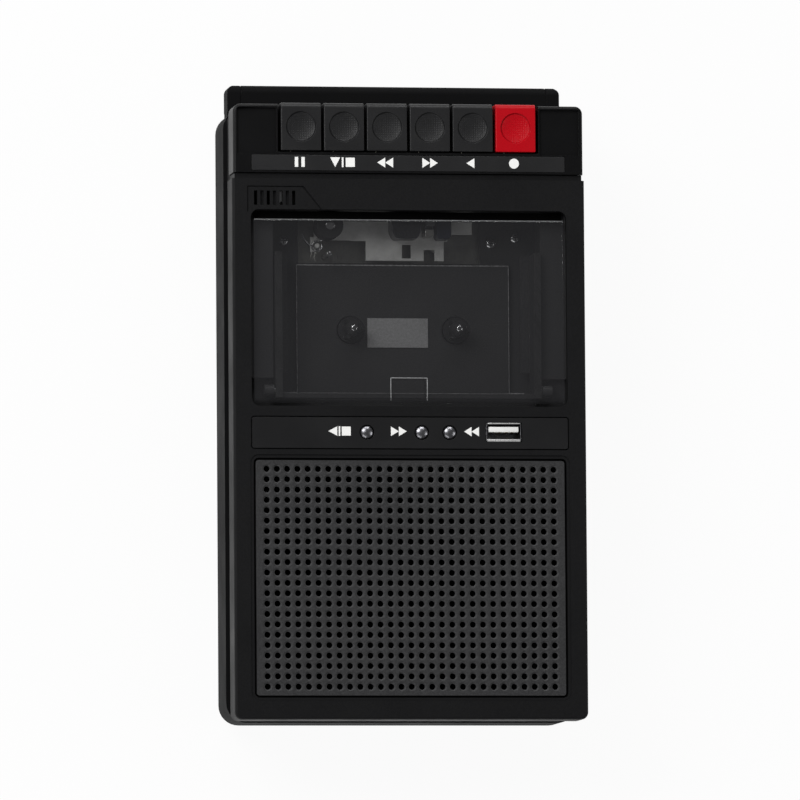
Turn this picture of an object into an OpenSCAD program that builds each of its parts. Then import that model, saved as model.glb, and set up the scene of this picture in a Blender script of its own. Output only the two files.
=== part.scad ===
// Portable cassette recorder, lying on its back with the keys towards +Y.
// The origin is on the table, under the middle of the recorder with its handle pushed in.

/* [Body] */
// Width of the body
body_w = 142; // [139:1:152]
// Length of the body, without the handle
body_l = 246; // [245:1:256]
// Height of the face above the table
body_h = 60; // [59.5:0.5:64]
// Wall of the moulded shells
wall = 2.5; // [2.2:0.1:2.8]
// Radius of the rear case's upright corners
corner_r = 8; // [6:0.5:9]
// Radius of the front shells' upright corners
face_corner_r = 3; // [2.6:0.2:4]
// Rounding round the edge of the face
face_edge = 1; // [0.6:0.2:1.6]
// Rounding round the edge of the back
back_edge = 7; // [4:0.5:8]
// Height of the side walls of the front shells
skirt_h = 14; // [13:0.5:15]
// Height of the recessed band below the front shells
waist_h = 13; // [10:0.5:14]
// Depth of the recessed band
waist_in = 1.5; // [1:0.1:1.8]
// Clearance between moulded pieces
gap = 0.3; // [0.2:0.05:0.4]
// Radial clearance of a shaft in its bore
run_gap = 0.06; // [0.03:0.01:0.1]

/* [Feet and screws] */
// Height of a rubber foot
foot_h = 2; // [1.5:0.25:3]
// Diameter of a rubber foot
foot_d = 11; // [8:0.5:12]
// Distance of the lower feet from the lower end
foot_low_in = 14; // [13:0.5:17]
// Distance of the upper feet from the key end
foot_key_in = 27; // [25:0.5:40]
// Distance of the feet from the sides of the body
foot_side = 14; // [13.5:0.5:20]
// Diameter of a case screw
screw_d = 3; // [2.5:0.1:3.2]
// Diameter of a screw head
screw_head_d = 5; // [4.6:0.1:5.2]
// Diameter of a screw boss
boss_d = 7.6; // [7.4:0.1:7.8]
// Length of a case screw
screw_l = 24; // [20:1:25]
// Depth of the screw heads inside the back
screw_deep = 26; // [20:1:28]

/* [Handle] */
// Reach of the pushed-in handle past the key end
handle_out = 11.2; // [8:0.2:13]
// Distance of the arms from the sides of the body
handle_side = 3.4; // [3.3:0.1:5]
// Width of one arm
arm_w = 5.5; // [4:0.5:5.5]
// Height of the handle above the back
handle_up = 8; // [7:0.5:9]
// Thickness of the handle
handle_t = 11; // [9:0.5:12]
// How far the handle slides out
handle_travel = 38; // [25:1:45]

/* [Keys] */
// Width of a key
key_w = 16.1; // [15.5:0.1:16.3]
// Space between two keys
key_space = 1.2; // [0.8:0.1:1.4]
// Length of a key cap
key_l = 19.1; // [18:0.1:19.4]
// How far the keys stand above the face
key_proud = 0.8; // [0.2:0.1:1.5]
// Depth of the key cap's front
key_skirt = 12.8; // [11:0.2:13]
// Diameter of the finger dish
dish_d = 12.2; // [8:0.2:13]
// Depth of the finger dish
dish_deep = 0.9; // [0.4:0.1:1.2]
// Distance of the key shaft from the key end
shaft_in = 26; // [25:0.5:27]
// Diameter of the key shaft
key_shaft_d = 3; // [2.5:0.1:3.5]
// Length of the play key's tail below the shaft
play_tail = 22; // [20:0.5:23]
// Length of the other keys' tails below the shaft
key_tail = 9; // [8:0.5:10]

/* [Label strip and groove] */
// Distance of the label strip from the sides of the body
label_side = 7.9; // [7:0.1:20]
// Length of the label strip along the body
label_l = 6.2; // [4:0.2:6.4]
// Thickness of the label strip
label_t = 0.6; // [0.4:0.1:1]
// Length of the key surround along the body
surround_l = 28; // [27.8:0.2:28.4]
// Width of the groove between the key surround and the front cover
groove_w = 2.4; // [1.6:0.1:2.6]

/* [Cassette door] */
// Distance of the door opening from the key end
opening_in = 42.7; // [42.2:0.1:43.2]
// Length of the door opening
opening_l = 78.5; // [78:0.1:79.2]
// Width of the frame beside the door opening
frame_side = 7.4; // [7:0.1:9]
// Space beside the door
door_side = 1.1; // [0.6:0.1:1.6]
// Finger space above the door
door_top = 3.7; // [3.2:0.1:4]
// Space below the door
door_foot = 1.3; // [1.2:0.1:1.6]
// Thickness of the door window
window_t = 2.5; // [2.4:0.1:2.6]
// Distance of the door hinge from the opening's lower edge
hinge_in = 6.6; // [6.5:0.1:7]
// Depth of the door hinge below the face
hinge_deep = 5; // [4.9:0.1:5.2]
// Diameter of a door hinge pin
hinge_pin_d = 2.4; // [2:0.1:2.6]
// Length of the moulded tab on the door
tab_l = 10.4; // [8:0.2:11]
// Width of the moulded tab on the door
tab_w = 15; // [10:0.5:18]

/* [Cassette and transport] */
// Width of a cassette
tape_w = 100.4; // [98:0.2:101]
// Depth of the well floor below the face
well_deep = 20; // [19.6:0.2:20.4]
// Width of the cassette well
well_w = 108; // [107.6:0.2:109]
// Distance between the spindles
spindle_pitch = 42.5; // [42:0.1:43]
// Distance of the spindles from the key end
spindle_in = 89.3; // [89:0.1:89.6]
// Width of the raised floor under the cassette
platform_w = 86; // [80:1:90]
// Height of the raised floor
platform_h = 2; // [1.6:0.1:2.1]
// Width of the plate between the spindles
plate_w = 24.5; // [20:0.5:26]
// Length of the plate between the spindles
plate_l = 11.8; // [8:0.2:14]
// Diameter of the capstan
capstan_d = 2; // [1.8:0.1:2.4]
// Distance of the capstan from the key end
capstan_in = 59.8; // [59.4:0.1:60.2]
// Distance of the capstan from the middle line
capstan_x = 31; // [30:0.5:32]
// Diameter of the pinch roller
roller_d = 11; // [10:0.2:11.4]
// Travel of the head bridge
bridge_travel = 4.6; // [4.5:0.1:4.8]
// Thickness of the steel transport chassis
chassis_t = 1.2; // [1:0.1:1.5]
// Diameter of the flywheel
flywheel_d = 44; // [40:1:45]
// Diameter of the motor
motor_d = 30; // [26:1:31]
// Height of the motor above the inside of the back
motor_up = 2.5; // [1.5:0.5:4.5]
// Diameter of the motor pulley
pulley_d = 9; // [7:0.5:10]

/* [Control strip] */
// Distance of the control strip from the sides of the body
strip_side = 7.5; // [7:0.5:10]
// Length of the control strip along the body
strip_l = 12.3; // [11.6:0.1:12.6]
// Distance of the control strip from the key end
strip_in = 125.7; // [125.4:0.1:126]
// Diameter of a round button
button_d = 5.3; // [4:0.1:5.6]
// Travel of a round button
button_travel = 0.8; // [0.4:0.1:1]
// Width of the socket's metal shell
usb_w = 14.2; // [13:0.2:15]
// Height of the socket's metal shell
usb_h = 7; // [6:0.2:7.6]

/* [Speaker] */
// Distance of the grille recess from the sides of the body
grille_side = 8; // [7:0.5:9]
// Distance of the grille recess from the lower end
grille_low = 8.7; // [8:0.1:9.5]
// Distance of the grille recess from the key end
grille_in = 141.9; // [141.5:0.1:142.1]
// Thickness of the grille panel
grille_t = 2.3; // [2:0.1:2.6]
// Diameter of a grille hole
hole_d = 2.5; // [1.5:0.1:3]
// Distance between grille holes
hole_pitch = 4.125; // [4:0.005:4.16]
// Diameter of the speaker
speaker_d = 77; // [66:1:86]
// Diameter of the speaker's magnet
magnet_d = 36; // [28:1:40]

/* [Battery bay] */
// Diameter of a cell
cell_d = 26.2; // [25.5:0.1:26.4]
// Length of a cell
cell_l = 50; // [49:0.5:50.5]
// Distance of the battery bay from the key end
bay_in = 162.5; // [162:0.5:164]
// Thickness of the battery door
battery_door_t = 2; // [1.8:0.1:2.2]
// Diameter of the battery door's hinge bead
bead_d = 2; // [1.8:0.1:2.2]

/* [Side sockets] */
// Diameter of the volume wheel
wheel_d = 20; // [17:0.5:21]
// Thickness of the volume wheel
wheel_t = 4; // [3:0.5:4.5]
// Bore of an audio socket
jack_bore_d = 3.6; // [3.5:0.1:4]
// Bore of the power inlet
inlet_bore_d = 5.6; // [5:0.1:6]

/* [Hidden] */

// A cut runs this far past the surface that it opens
past = 1;
// Thickness of the layers that a rounded shell is drawn between
skin = 0.01;
shell_fn = 32;
$fn = 48;

// Places along the body
key_end = (body_l - handle_out) / 2;
low_end = key_end - body_l;
function in_y(d) = key_end - d;

// Heights
back_z = foot_h;
floor_z = back_z + wall;
plate_z = body_h - wall;
split_z = body_h - skirt_h;
waist_z = split_z - waist_h;
inner_x = body_w / 2 - wall;
lip_in = waist_in + wall;
// Radius of the recessed band's corners, and how far the key surround stands in
waist_corner_r = 4;
surround_in = 0.5;
// The step round the inside of the back, and the lap between the shells
inner_step = 1.5;
inner_step_h = 3;
lap_h = 3;
// The tongue that closes the groove
tongue_l = 3;
tongue_side = 1.4;
tongue_t = 1.6;
// Depth of the groove between the key surround and the front cover
groove_sunk = 1;
// Share of the face edge that its middle facet is drawn in by
soft_share = 0.29;
// Clearance round an inlaid strip
seat_gap = 0.2;

// Handle
handle_w = body_w - 2 * handle_side;
handle_z = back_z + handle_up;
handle_r = 3;
handle_notch = 0.4;
handle_notch_deep = 0.7;
arm_inset = 1;
stop_l = 4;
stop_w = 2;
stop_h = 3;

// Keys
key_count = 6;
key_pitch = key_w + key_space;
key_bay_w = key_count * key_pitch + key_space;
function key_x(i) = (i - (key_count - 1) / 2) * key_pitch;
key_top = body_h + key_proud;
key_low = key_top - key_skirt;
shaft_deep = 9;
shaft_z = body_h - shaft_deep;
shaft_y = in_y(shaft_in);
key_wall = 1.8;
key_front = 2.2;
key_roof = 3;
key_nose_r = 2;
lever_lap = 3;
dish_in = 9.6;
key_back = key_l + key_space / 2;
lever_w = 5;
lever_r = 3.6;
tail_t = 4;
key_dip = 4;
key_bay_low = split_z - key_dip;
cheek_t = 1.8;
cheek_end = 1.5;
field_deep = 0.8;
field_in = 0.6;
field_l = 20.4;
rail_deep = 7;
rail_z = split_z - rail_deep;
rail_t = 2;
rail_in = 12;
rail_l = 5;
comb_t = 0.4;
leaf_w = 4;
leaf_root = 0.5;
leaf_past = 1;

// Label strip
label_w = body_w - 2 * label_side;
label_r = 0.5;
label_set = 0.45;
label_in = (key_l + surround_l) / 2 + label_set;

// Door
opening_w = body_w - 2 * frame_side;
opening_r = 3.3;
door_w = opening_w - 2 * door_side;
door_l = opening_l - door_top - door_foot;
door_y1 = in_y(opening_in + door_top);
door_y0 = door_y1 - door_l;
opening_y1 = in_y(opening_in);
opening_y0 = opening_y1 - opening_l;
hinge_y = opening_y0 + hinge_in;
hinge_z = body_h - hinge_deep;
window_z = body_h - window_t;
rail_w = 2.7;
carrier_side = 0.5;
carrier_x = well_w / 2 - carrier_side;
carrier_deep = 16;
carrier_low = body_h - carrier_deep;
lip_under = 3;
lip_w = carrier_x - rail_w - tape_w / 2 + lip_under;
lip_t = 1.2;
carrier_top_in = 13;
carrier_foot = 3;
carrier_lip_in = 8;
bar_t = 2;
bar_deep = 2.5;
press_gap = 0.02;
window_top_r = 1.2;
tab_h = 2;
tab_wall = 1.2;
hook_x = 9.2;
hook_w = 3.4;
hook_deep = 9;
hook_low = body_h - hook_deep;
hook_edge = 0.5;
hook_t = 1.8;
hook_lip_t = 1.4;
hook_y = door_y1 - hook_edge - hook_t;
lip_reach = 0.8;

// Well and transport
well_wall = 1.6;
well_z = body_h - well_deep;
well_floor_t = 2;
well_under = well_z - well_floor_t;
platform_z = well_z + platform_h;
platform_in = 63;
platform_l = 52;
platform_y1 = in_y(platform_in);
platform_y0 = platform_y1 - platform_l;
ledge_deep = 6;
ledge_low_deep = 9.4;
ledge_z = body_h - ledge_deep;
ledge_low = body_h - ledge_low_deep;
ledge_step = 4;
rim_room = 0.4;
ledge_t = 1.6;
well_rim_x = opening_w / 2 + rim_room;
boss_r = 2.2;
boss_l = 2.4;
pin_past = 2;
spindle_y = in_y(spindle_in);
spindle_r = 3;
spindle_deep = 7;
spindle_tip = body_h - spindle_deep;
spindle_collar = 2.2;
spindle_collar_h = 1.2;
spindle_hole_room = 0.4;
spindle_lift = 0.5;
spindle_cone = 1.5;
spindle_tip_r = 1.6;
reel_disc_r = 9;
reel_disc_t = 1.6;
fin_t = 1.4;
fin_out = 1.4;
fin_short = 3;
run_room = 0.5;
spindle_hole_r = spindle_r + spindle_collar + spindle_hole_room;
axle_d = 3;
plate_t = 0.4;
plate_left = 2.2;
plate_set = 1.1;
chassis_room = 2.8;
chassis_z = well_under - chassis_room - chassis_t;
chassis_w = 98;
chassis_in = 34;
chassis_l = 87;
chassis_y1 = in_y(chassis_in);
chassis_y0 = chassis_y1 - chassis_l;
capstan_y = in_y(capstan_in);
capstan_deep = 8;
bearing_wall = 2.95;
bearing_r = capstan_d / 2 + bearing_wall;
bearing_flange = 1.45;
bearing_flange_t = 1;
bearing_past = 2;
axle_short = 3;
pad_x = [-12, 13];
pad_r = 2;
pad_in = 56;
slide_gap = 0.1;
bridge_z = platform_z + gap;
bridge_t = 1.2;
bridge_top = bridge_z + bridge_t;
bridge_x = [-21, 18];
bridge_nose_x = [-15, 16.5];
bridge_in = 43.8;
bridge_wide_l = 9.8;
bridge_l = 17.7;
bridge_y1 = in_y(bridge_in);
bridge_y0 = bridge_y1 - bridge_l;
bridge_step_y = bridge_y1 - bridge_wide_l;
bridge_arm = 7;
bridge_arm_w = 4;
bridge_tab = 3;
bridge_slot_x = [-0.4, 3.2];
bridge_slot_l = 5.5;
bridge_notch_x = [8.4, 12.8];
bridge_notch_l = 4.5;
play_slot_w = 7;
bridge_cut_x0 = -42;
bridge_cut_x1 = 31.5;
bridge_room = 0.8;
latch_room = 3.5;
bridge_cut_y0 = bridge_y0 - bridge_room;
bridge_cut_top = bridge_top + latch_room;
play_x = key_x(4);
eject_x = key_x(1);
push_y = shaft_y - tail_t / 2 - gap;
latch_t = 1.5;
latch_back = 2.5;
latch_bar_w = 3.5;
latch_nose = 2.6;
latch_nose_t = 1.3;
latch_post = 1.6;
latch_over = 0.5;
roller_y = capstan_y + capstan_d / 2 + roller_d / 2 + gap + bridge_travel;
roller_pin_d = 2;
roller_arm = 5;
roller_deep = 6.2;
roller_cap_r = 1.8;
roller_cap_t = 0.9;
roller_cap_gap = 0.3;
head_nose = 0.36;
play_head_w = 12;
play_head_l = 9;
play_head_h = 10.5;
erase_head_w = 6;
erase_head_l = 8;
erase_head_h = 9.5;
erase_x = 15.2;
head_in = 53.4;
flywheel_room = 10;
flywheel_z = chassis_z - flywheel_room;
shaft_past = 1;
wheel_rim = 1.2;
hub_r = 4;
hub_h = 1.6;
flywheel_t = 6;
belt_t = 1;
belt_w = 3;
groove_deep = 1.5;
belt_z = flywheel_z + flywheel_t / 2 - belt_w / 2;
motor_in = 97;
motor_y = in_y(motor_in);
motor_drop = 1;
motor_top = flywheel_z - motor_drop;
motor_h = motor_top - floor_z - motor_up;
motor_shaft_r = 1;
motor_shaft_l = 6.5;
motor_post_in = 4;
motor_post_d = 5;
motor_post_r = motor_d / 2 - motor_post_in;

// Control strip and boards
strip_y = in_y(strip_in + strip_l / 2);
strip_w = body_w - 2 * strip_side;
strip_t = 1;
strip_gap = 0.5;
strip_r = 0.8;
button_in = 131.6;
button_y = in_y(button_in);
button_x = [-17.5, 4.6, 15.8];
usb_side = 33.3;
usb_x = body_w / 2 - usb_side;
usb_in = 131.4;
usb_y = in_y(usb_in);
board_t = 1.6;
button_board_deep = 16;
button_board_z = body_h - button_board_deep;
switch_w = 6;
switch_h = 4.5;
button_board_x = [-30, 54];
button_board_l = 16;
board_posts = [-25, 49];
board_post_r = 2.5;
button_rise = 1;
button_dome = 1;
button_flange = 1;
button_flange_t = 1.4;
button_stem_r = 1.5;
usb_shell = 0.4;
usb_back = 2;
usb_sunk = 0.4;
usb_tongue = [0.2, 2.1];
usb_tongue_in = 1.2;
usb_tongue_deep = 1.6;

// Speaker
grille_w = body_w - 2 * grille_side;
grille_l = body_l - grille_in - grille_low;
grille_y = in_y(grille_in + grille_l / 2);
grille_gap = 0.9;
// The step round the edge of the recess
grille_step = 1.3;
grille_step_deep = 0.4;
baffle_deep = 3;
grille_r = 2;
speaker_lap = 3;
baffle_z = body_h - baffle_deep;
baffle_t = 2.2;
baffle_under = baffle_z - baffle_t;
hole_margin = 4;
hole_cols = floor((grille_w - 2 * hole_margin) / hole_pitch) + 1;
hole_rows = floor((grille_l - 2 * hole_margin) / hole_pitch) + 1;
speaker_flange = 1.8;
magnet_t = 6.5;
magnet_room = 1;
magnet_lap = 1;
basket_t = 1;
basket_hole_r = 3;
basket_lap = 4.5;
cone_r = 6;
cone_dip = 1.6;
cone_in = 8;
cone_low = 2;
cone_roll = 1.8;
cone_t = 0.6;
pole_r = 2.8;
pole_room = 2;
// Share of the basket's depth below the middle of the cone
cone_share = 5 / 13;

// Microphone: seven slots, every other one open to the capsule
mic_slots = 7;
mic_side = 9.4;
mic_x = mic_side - body_w / 2;
mic_pitch = 2.55;
mic_slot_w = 1.3;
mic_slot_l = 5.7;
mic_in = 35.3;
mic_blind = 1;
mic_line = 0.5;
mic_panel_side = 6;
mic_panel_x = mic_panel_side - body_w / 2;
mic_panel_in = 33.4;
mic_panel_w = 22.7;
mic_panel_foot = 30.8;
mic_capsule_r = 3;
mic_capsule_h = 5.5;

// Battery bay
bay_wall = 1.8;
contact_room = 6;
bay_w = 2 * cell_l + 2 * contact_room;
cell_room = 2.6;
bay_l = 2 * cell_d + cell_room;
bay_y1 = in_y(bay_in);
bay_y0 = bay_y1 - bay_l;
bay_head = 0.8;
bay_top = floor_z + cell_d + bay_head;
basket_low = bay_top + bay_wall + magnet_room + magnet_t + basket_t;
cone_up = (baffle_under - basket_low) * cone_share;
pole_h = cone_up - pole_room;
door_lap = 1.2;
battery_door_in = 4;
battery_door_w = bay_w - 2 * battery_door_in;
bead_y = bay_y0 - door_lap - bead_d / 2;
bead_z = back_z + bead_d / 2;
bead_pin_d = 1.4;
bead_pin_l = 2.5;
cell_off = cell_d / 2 + gap;
spring_r = [8, 3];
spring_h = [0.5, 3.6];
contact_r = [9, 4, 3.4];
contact_h = [0.5, 1.6];
rib_count = 5;
rib_pitch = 1.8;
rib_w = 0.8;
rib_l = 24;
rib_deep = 0.5;
rib_in = 10;

// Boards and side sockets
board_lift = 1.5;
board_z = floor_z + board_lift;
board_top = board_z + board_t;
board_room = 1;
main_board_y0 = bay_y1 + bay_wall + board_room;
main_board_in = 117;
arm_board_in = 83;
arm_board_l = 40;
main_board_y1 = in_y(main_board_in);
arm_board_y1 = in_y(arm_board_in);
arm_board_y0 = arm_board_y1 - arm_board_l;
main_board_x = 54;
can_x = [-44, -30, -16, -2, 14];
can_r = 4;
can_h = 12;
can_in = 9;
chip_x = [-20, 12];
chip_w = 20;
chip_l = 8;
chip_h = 3.4;
chip_in = 11;
arm_board_x0 = 51;
arm_board_side = 3.5;
arm_board_x1 = inner_x - arm_board_side;
wheel_sunk = 0.2;
wheel_x = body_w / 2 - wheel_d / 2 - wheel_sunk;
motor_room = 1.8;
motor_x = wheel_x - wheel_d / 2 - motor_room - motor_d / 2;
wheel_in = 94;
wheel_y = in_y(wheel_in);
scoop_r = 20;
scoop_deep = 1.6;
scoop_room = 2;
wheel_stem_r = 1.6;
knurl_r = 0.5;
knurl_turn = 10;
pot_h = 6;
pot_w = 12;
pot_side = 4;
pot_floor = 1;
pot_gap = 0.4;
wheel_z = board_top + pot_h + pot_gap;
jack_in = 109;
jack_pitch = 9.5;
jack_y = [in_y(jack_in), in_y(jack_in + jack_pitch)];
jack_w = 8.4;
jack_h = 9;
jack_l = 15;
jack_z = board_top + jack_h / 2;
jack_collar_d = 6;
jack_deep = 12;
jack_sunk = 0.5;
inlet_in = 146;
inlet_y = in_y(inlet_in);
inlet_w = 9.6;
inlet_h = 10.5;
inlet_rim = 1;
inlet_deep = 10;
inlet_pin_r = 1;
inlet_pin_back = 1.5;
inlet_z = board_top + inlet_h / 2;

// Screws: distance from the middle line, distance from the key end, height where the two bosses meet
screw_room = 0.6;
screw_side = [9.4, 24];
screw_key_in = 10;
screw_mid_in = 128;
screw_low = 19;
screw_x = [
    handle_w / 2 - arm_w - boss_d / 2 - screw_room, body_w / 2 - screw_side[0], body_w / 2 - screw_side[1]
];
screw_in = [screw_key_in, screw_mid_in, body_l - screw_low];
screw_meet = [rail_z, split_z, split_z];
screw_spots = [for (s = [-1, 1], i = [0 : 2]) [s * screw_x[i], in_y(screw_in[i]), screw_meet[i]]];
screw_head_h = 2;
screw_slot = [3.2, 0.8, 1.6];
screw_tip_gap = 0.5;
foot_x = body_w / 2 - foot_side;
foot_ease = 0.8;
screw_z = back_z + screw_deep;

// Chassis pillars
pillar_d = 6;
pillar_x = 44;
pillar_in = [37.5, 118];
pillars = [for (x = [-pillar_x, pillar_x], d = pillar_in) [x, in_y(d)]];

// A rounded rectangle about the middle
module plan(w, l, r) {
    square([w - 2 * r, l], center = true);
    square([w, l - 2 * r], center = true);
    for (x = [-1, 1], y = [-1, 1])
        translate([x * (w / 2 - r), y * (l / 2 - r)]) circle(r);
}

// The body's outline, drawn in by a distance, from one height to another
module body_prism(inset, z0, z1, r = face_corner_r, fine = $fn) {
    translate([0, (key_end + low_end) / 2, z0])
        linear_extrude(z1 - z0)
            plan(body_w - 2 * inset, body_l - 2 * inset, max(r - inset, 1), $fn = fine);
}

// The body with its rounded face edge
module face_block(inset) {
    r = face_corner_r + inset;
    soft = face_edge * soft_share;
    hull() {
        body_prism(inset, split_z, body_h - face_edge, r, shell_fn);
        body_prism(inset + soft, body_h - soft - skin, body_h - soft, r, shell_fn);
        body_prism(inset + face_edge, body_h - skin, body_h, r, shell_fn);
    }
}

// The body with its rounded back edge
module back_block() {
    hull()
        for (a = [0 : 15 : 90])
            body_prism(back_edge * (1 - sin(a)), back_z + back_edge * (1 - cos(a)),
                (a < 90) ? back_z + back_edge * (1 - cos(a)) + skin : waist_z, corner_r, shell_fn);
}

// A box between two corners
module span(x, y, z) {
    translate([x[0], y[0], z[0]]) cube([x[1] - x[0], y[1] - y[0], z[1] - z[0]]);
}

// A box that is the same on both sides of the middle
module both_sides(x, y, z) {
    for (s = [0, 1]) mirror([s, 0, 0]) span(x, y, z);
}

// A rod along X
module rod_x(r, x0, x1, y, z) {
    translate([x0, y, z]) rotate([0, 90, 0]) cylinder(r = r, h = x1 - x0);
}

// A rod along Z
module rod_z(r, x, y, z0, z1) {
    translate([x, y, z0]) cylinder(r = r, h = z1 - z0);
}

// Everything behind the key surround's lower edge, or in front of it
module key_half(y_edge, keys) {
    y0 = keys ? y_edge : low_end - past;
    y1 = keys ? key_end + past : y_edge;
    span([-body_w, body_w], [y0, y1], [0, body_h + past]);
}

// Shells

module rear_case()
    color("#161617") {
        arm_x = handle_w / 2;
        difference() {
            union() {
                difference() {
                    union() {
                        back_block();
                        body_prism(waist_in, waist_z - past, split_z, waist_corner_r + waist_in);
                        body_prism(wall + gap, split_z - past, split_z + lap_h, waist_corner_r + waist_in);
                    }
                    body_prism(wall + inner_step, floor_z, waist_z - wall, corner_r);
                    body_prism(wall, floor_z + inner_step_h, waist_z - wall, corner_r);
                    body_prism(lip_in, floor_z, split_z + lap_h + past, corner_r);
                }
                span([-bay_w / 2 - bay_wall, bay_w / 2 + bay_wall],
                    [bay_y0 - bay_wall, bay_y1 + bay_wall], [floor_z - past, bay_top + bay_wall]);
                for (p = screw_spots) rod_z(boss_d / 2, p[0], p[1], floor_z - past, p[2]);
                for (p = pillars) rod_z(pillar_d / 2, p[0], p[1], floor_z - past, chassis_z);
            }
            // The battery bay and its door
            span([-bay_w / 2, bay_w / 2], [bay_y0, bay_y1], [floor_z, bay_top]);
            span([-battery_door_w / 2 - gap, battery_door_w / 2 + gap],
                [bead_y, bay_y1 - door_lap + gap], [back_z - past, floor_z + past]);
            rod_x(bead_d / 2 + gap, -battery_door_w / 2 - gap, battery_door_w / 2 + gap, bead_y, bead_z);
            rod_x(bead_pin_d / 2 + run_gap, -battery_door_w / 2 - bead_pin_l - gap,
                battery_door_w / 2 + bead_pin_l + gap, bead_y, bead_z);
            // Screw heads and shanks
            for (p = screw_spots) {
                rod_z(screw_d / 2 + gap, p[0], p[1], back_z - past, split_z + past);
                rod_z(screw_head_d / 2 + gap, p[0], p[1], back_z - past, screw_z);
            }
            // The handle's arms
            both_sides([arm_x - arm_w - gap, arm_x + gap], [key_end - corner_r, key_end + past],
                [handle_z + arm_inset - gap, handle_z + handle_t - arm_inset + gap]);
            // Room for the keys to go down
            span([-key_bay_w / 2, key_bay_w / 2], [key_end - lip_in - past, key_end + past],
                [key_bay_low, split_z + lap_h + past]);
            // Room for the front shells' screw bosses
            for (p = screw_spots) rod_z(boss_d / 2 + gap, p[0], p[1], p[2], split_z + lap_h + past);
            // The volume wheel's slot, in a scoop for the thumb
            rod_z(wheel_d / 2 + gap, wheel_x, wheel_y, wheel_z - gap, wheel_z + wheel_t + gap);
            rod_z(scoop_r, body_w / 2 + scoop_r - scoop_deep, wheel_y,
                wheel_z - scoop_room, wheel_z + wheel_t + scoop_room);
            // Side sockets
            for (y = jack_y)
                rod_x(jack_collar_d / 2 + gap, inner_x - past, body_w / 2 + past, y, jack_z);
            rod_x(inlet_bore_d / 2 + inlet_rim, inner_x - past, body_w / 2 + past, inlet_y, inlet_z);
        }
    }

// The sloping panel round the microphone slots, drawn in by a distance
module mic_panel(inset) {
    y1 = in_y(mic_panel_in + inset);
    polygon([
        [mic_panel_x + inset, opening_y1 - past], [mic_panel_x + inset, y1],
        [mic_panel_x + mic_panel_w - inset, y1], [mic_panel_x + mic_panel_foot - inset, opening_y1 - past]
    ]);
}

module front_cover()
    color("#1b1b1c") {
        edge_y = in_y(surround_l + groove_w);
        lap_y = edge_y + groove_w + tongue_l;
        difference() {
            union() {
                difference() {
                    intersection() {
                        face_block(0);
                        key_half(edge_y, false);
                    }
                    difference() {
                        body_prism(wall, split_z - past, plate_z);
                        span([-grille_w / 2 - wall, grille_w / 2 + wall],
                            [grille_y - grille_l / 2 - wall, grille_y + grille_l / 2 + wall],
                            [baffle_under, plate_z + past]);
                    }
                }
                // A tongue that runs under the key surround and closes the groove
                difference() {
                    intersection() {
                        body_prism(wall + gap, split_z + lap_h + gap, plate_z - gap);
                        span([-body_w, body_w], [edge_y - tongue_l, lap_y], [0, body_h]);
                    }
                    body_prism(wall + gap + tongue_side, split_z, plate_z - gap - tongue_t);
                    both_sides([key_bay_w / 2 - gap, key_bay_w / 2 + cheek_t + gap],
                        [shaft_y - cheek_end - gap, lap_y + past], [split_z, plate_z]);
                }
                span([-inner_x + wall, inner_x - wall], [edge_y - tongue_l, edge_y],
                    [plate_z - gap - tongue_t, plate_z + past]);
                both_sides([inner_x - tongue_t, inner_x + past], [edge_y - tongue_l, edge_y],
                    [split_z + lap_h + gap, plate_z]);
                // The floor of the groove
                difference() {
                    intersection() {
                        body_prism(groove_sunk, split_z, body_h - groove_sunk);
                        span([-body_w, body_w], [edge_y - past, edge_y + groove_w - gap], [0, body_h]);
                    }
                    body_prism(wall, split_z - past, split_z + lap_h + gap);
                    body_prism(wall + gap, split_z, plate_z - gap);
                }
                for (p = screw_spots)
                    if (p[1] < edge_y)
                        rod_z(boss_d / 2, p[0], p[1], p[2],
                            (p[1] < grille_y ? baffle_under : plate_z) + past);
                // Posts of the button board
                for (x = board_posts)
                    rod_z(board_post_r, x, button_y, button_board_z + board_t, plate_z + past);
            }
            for (p = screw_spots)
                if (p[1] < edge_y) rod_z(screw_d / 2 + run_gap, p[0], p[1], p[2] - past, screw_z + screw_l);
            // Door opening
            translate([0, (opening_y0 + opening_y1) / 2, plate_z - past])
                linear_extrude(wall + 2 * past) plan(opening_w, opening_l, opening_r);
            // Control strip, its buttons and its socket
            translate([0, strip_y, body_h - strip_t])
                linear_extrude(strip_t + past)
                    plan(strip_w + 2 * strip_gap, strip_l + 2 * strip_gap, strip_r + strip_gap);
            for (x = button_x) rod_z(button_d / 2 + gap, x, button_y, plate_z - past, body_h);
            span([usb_x - usb_w / 2 - gap, usb_x + usb_w / 2 + gap],
                [usb_y - usb_h / 2 - gap, usb_y + usb_h / 2 + gap], [plate_z - past, body_h]);
            // Grille recess and speaker hole
            translate([0, grille_y, baffle_z])
                linear_extrude(baffle_deep + past) plan(grille_w, grille_l, grille_r);
            translate([0, grille_y, body_h - grille_step_deep])
                linear_extrude(baffle_deep)
                    plan(grille_w + 2 * grille_step, grille_l + 2 * grille_step, grille_r + grille_step);
            rod_z(speaker_d / 2 - speaker_lap, 0, grille_y, baffle_under - past, body_h);
            // Microphone slots
            for (i = [0 : mic_slots - 1])
                translate([mic_x + i * mic_pitch, 0, 0])
                    span([-mic_slot_w / 2, mic_slot_w / 2], [in_y(mic_in + mic_slot_l), in_y(mic_in)],
                        [i % 2 == 0 ? plate_z - past : body_h - mic_blind, body_h + past]);
            // The line round the microphone panel
            translate([0, 0, body_h - mic_line])
                linear_extrude(mic_line + past)
                    difference() {
                        mic_panel(0);
                        mic_panel(mic_line);
                    }
        }
    }

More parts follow.
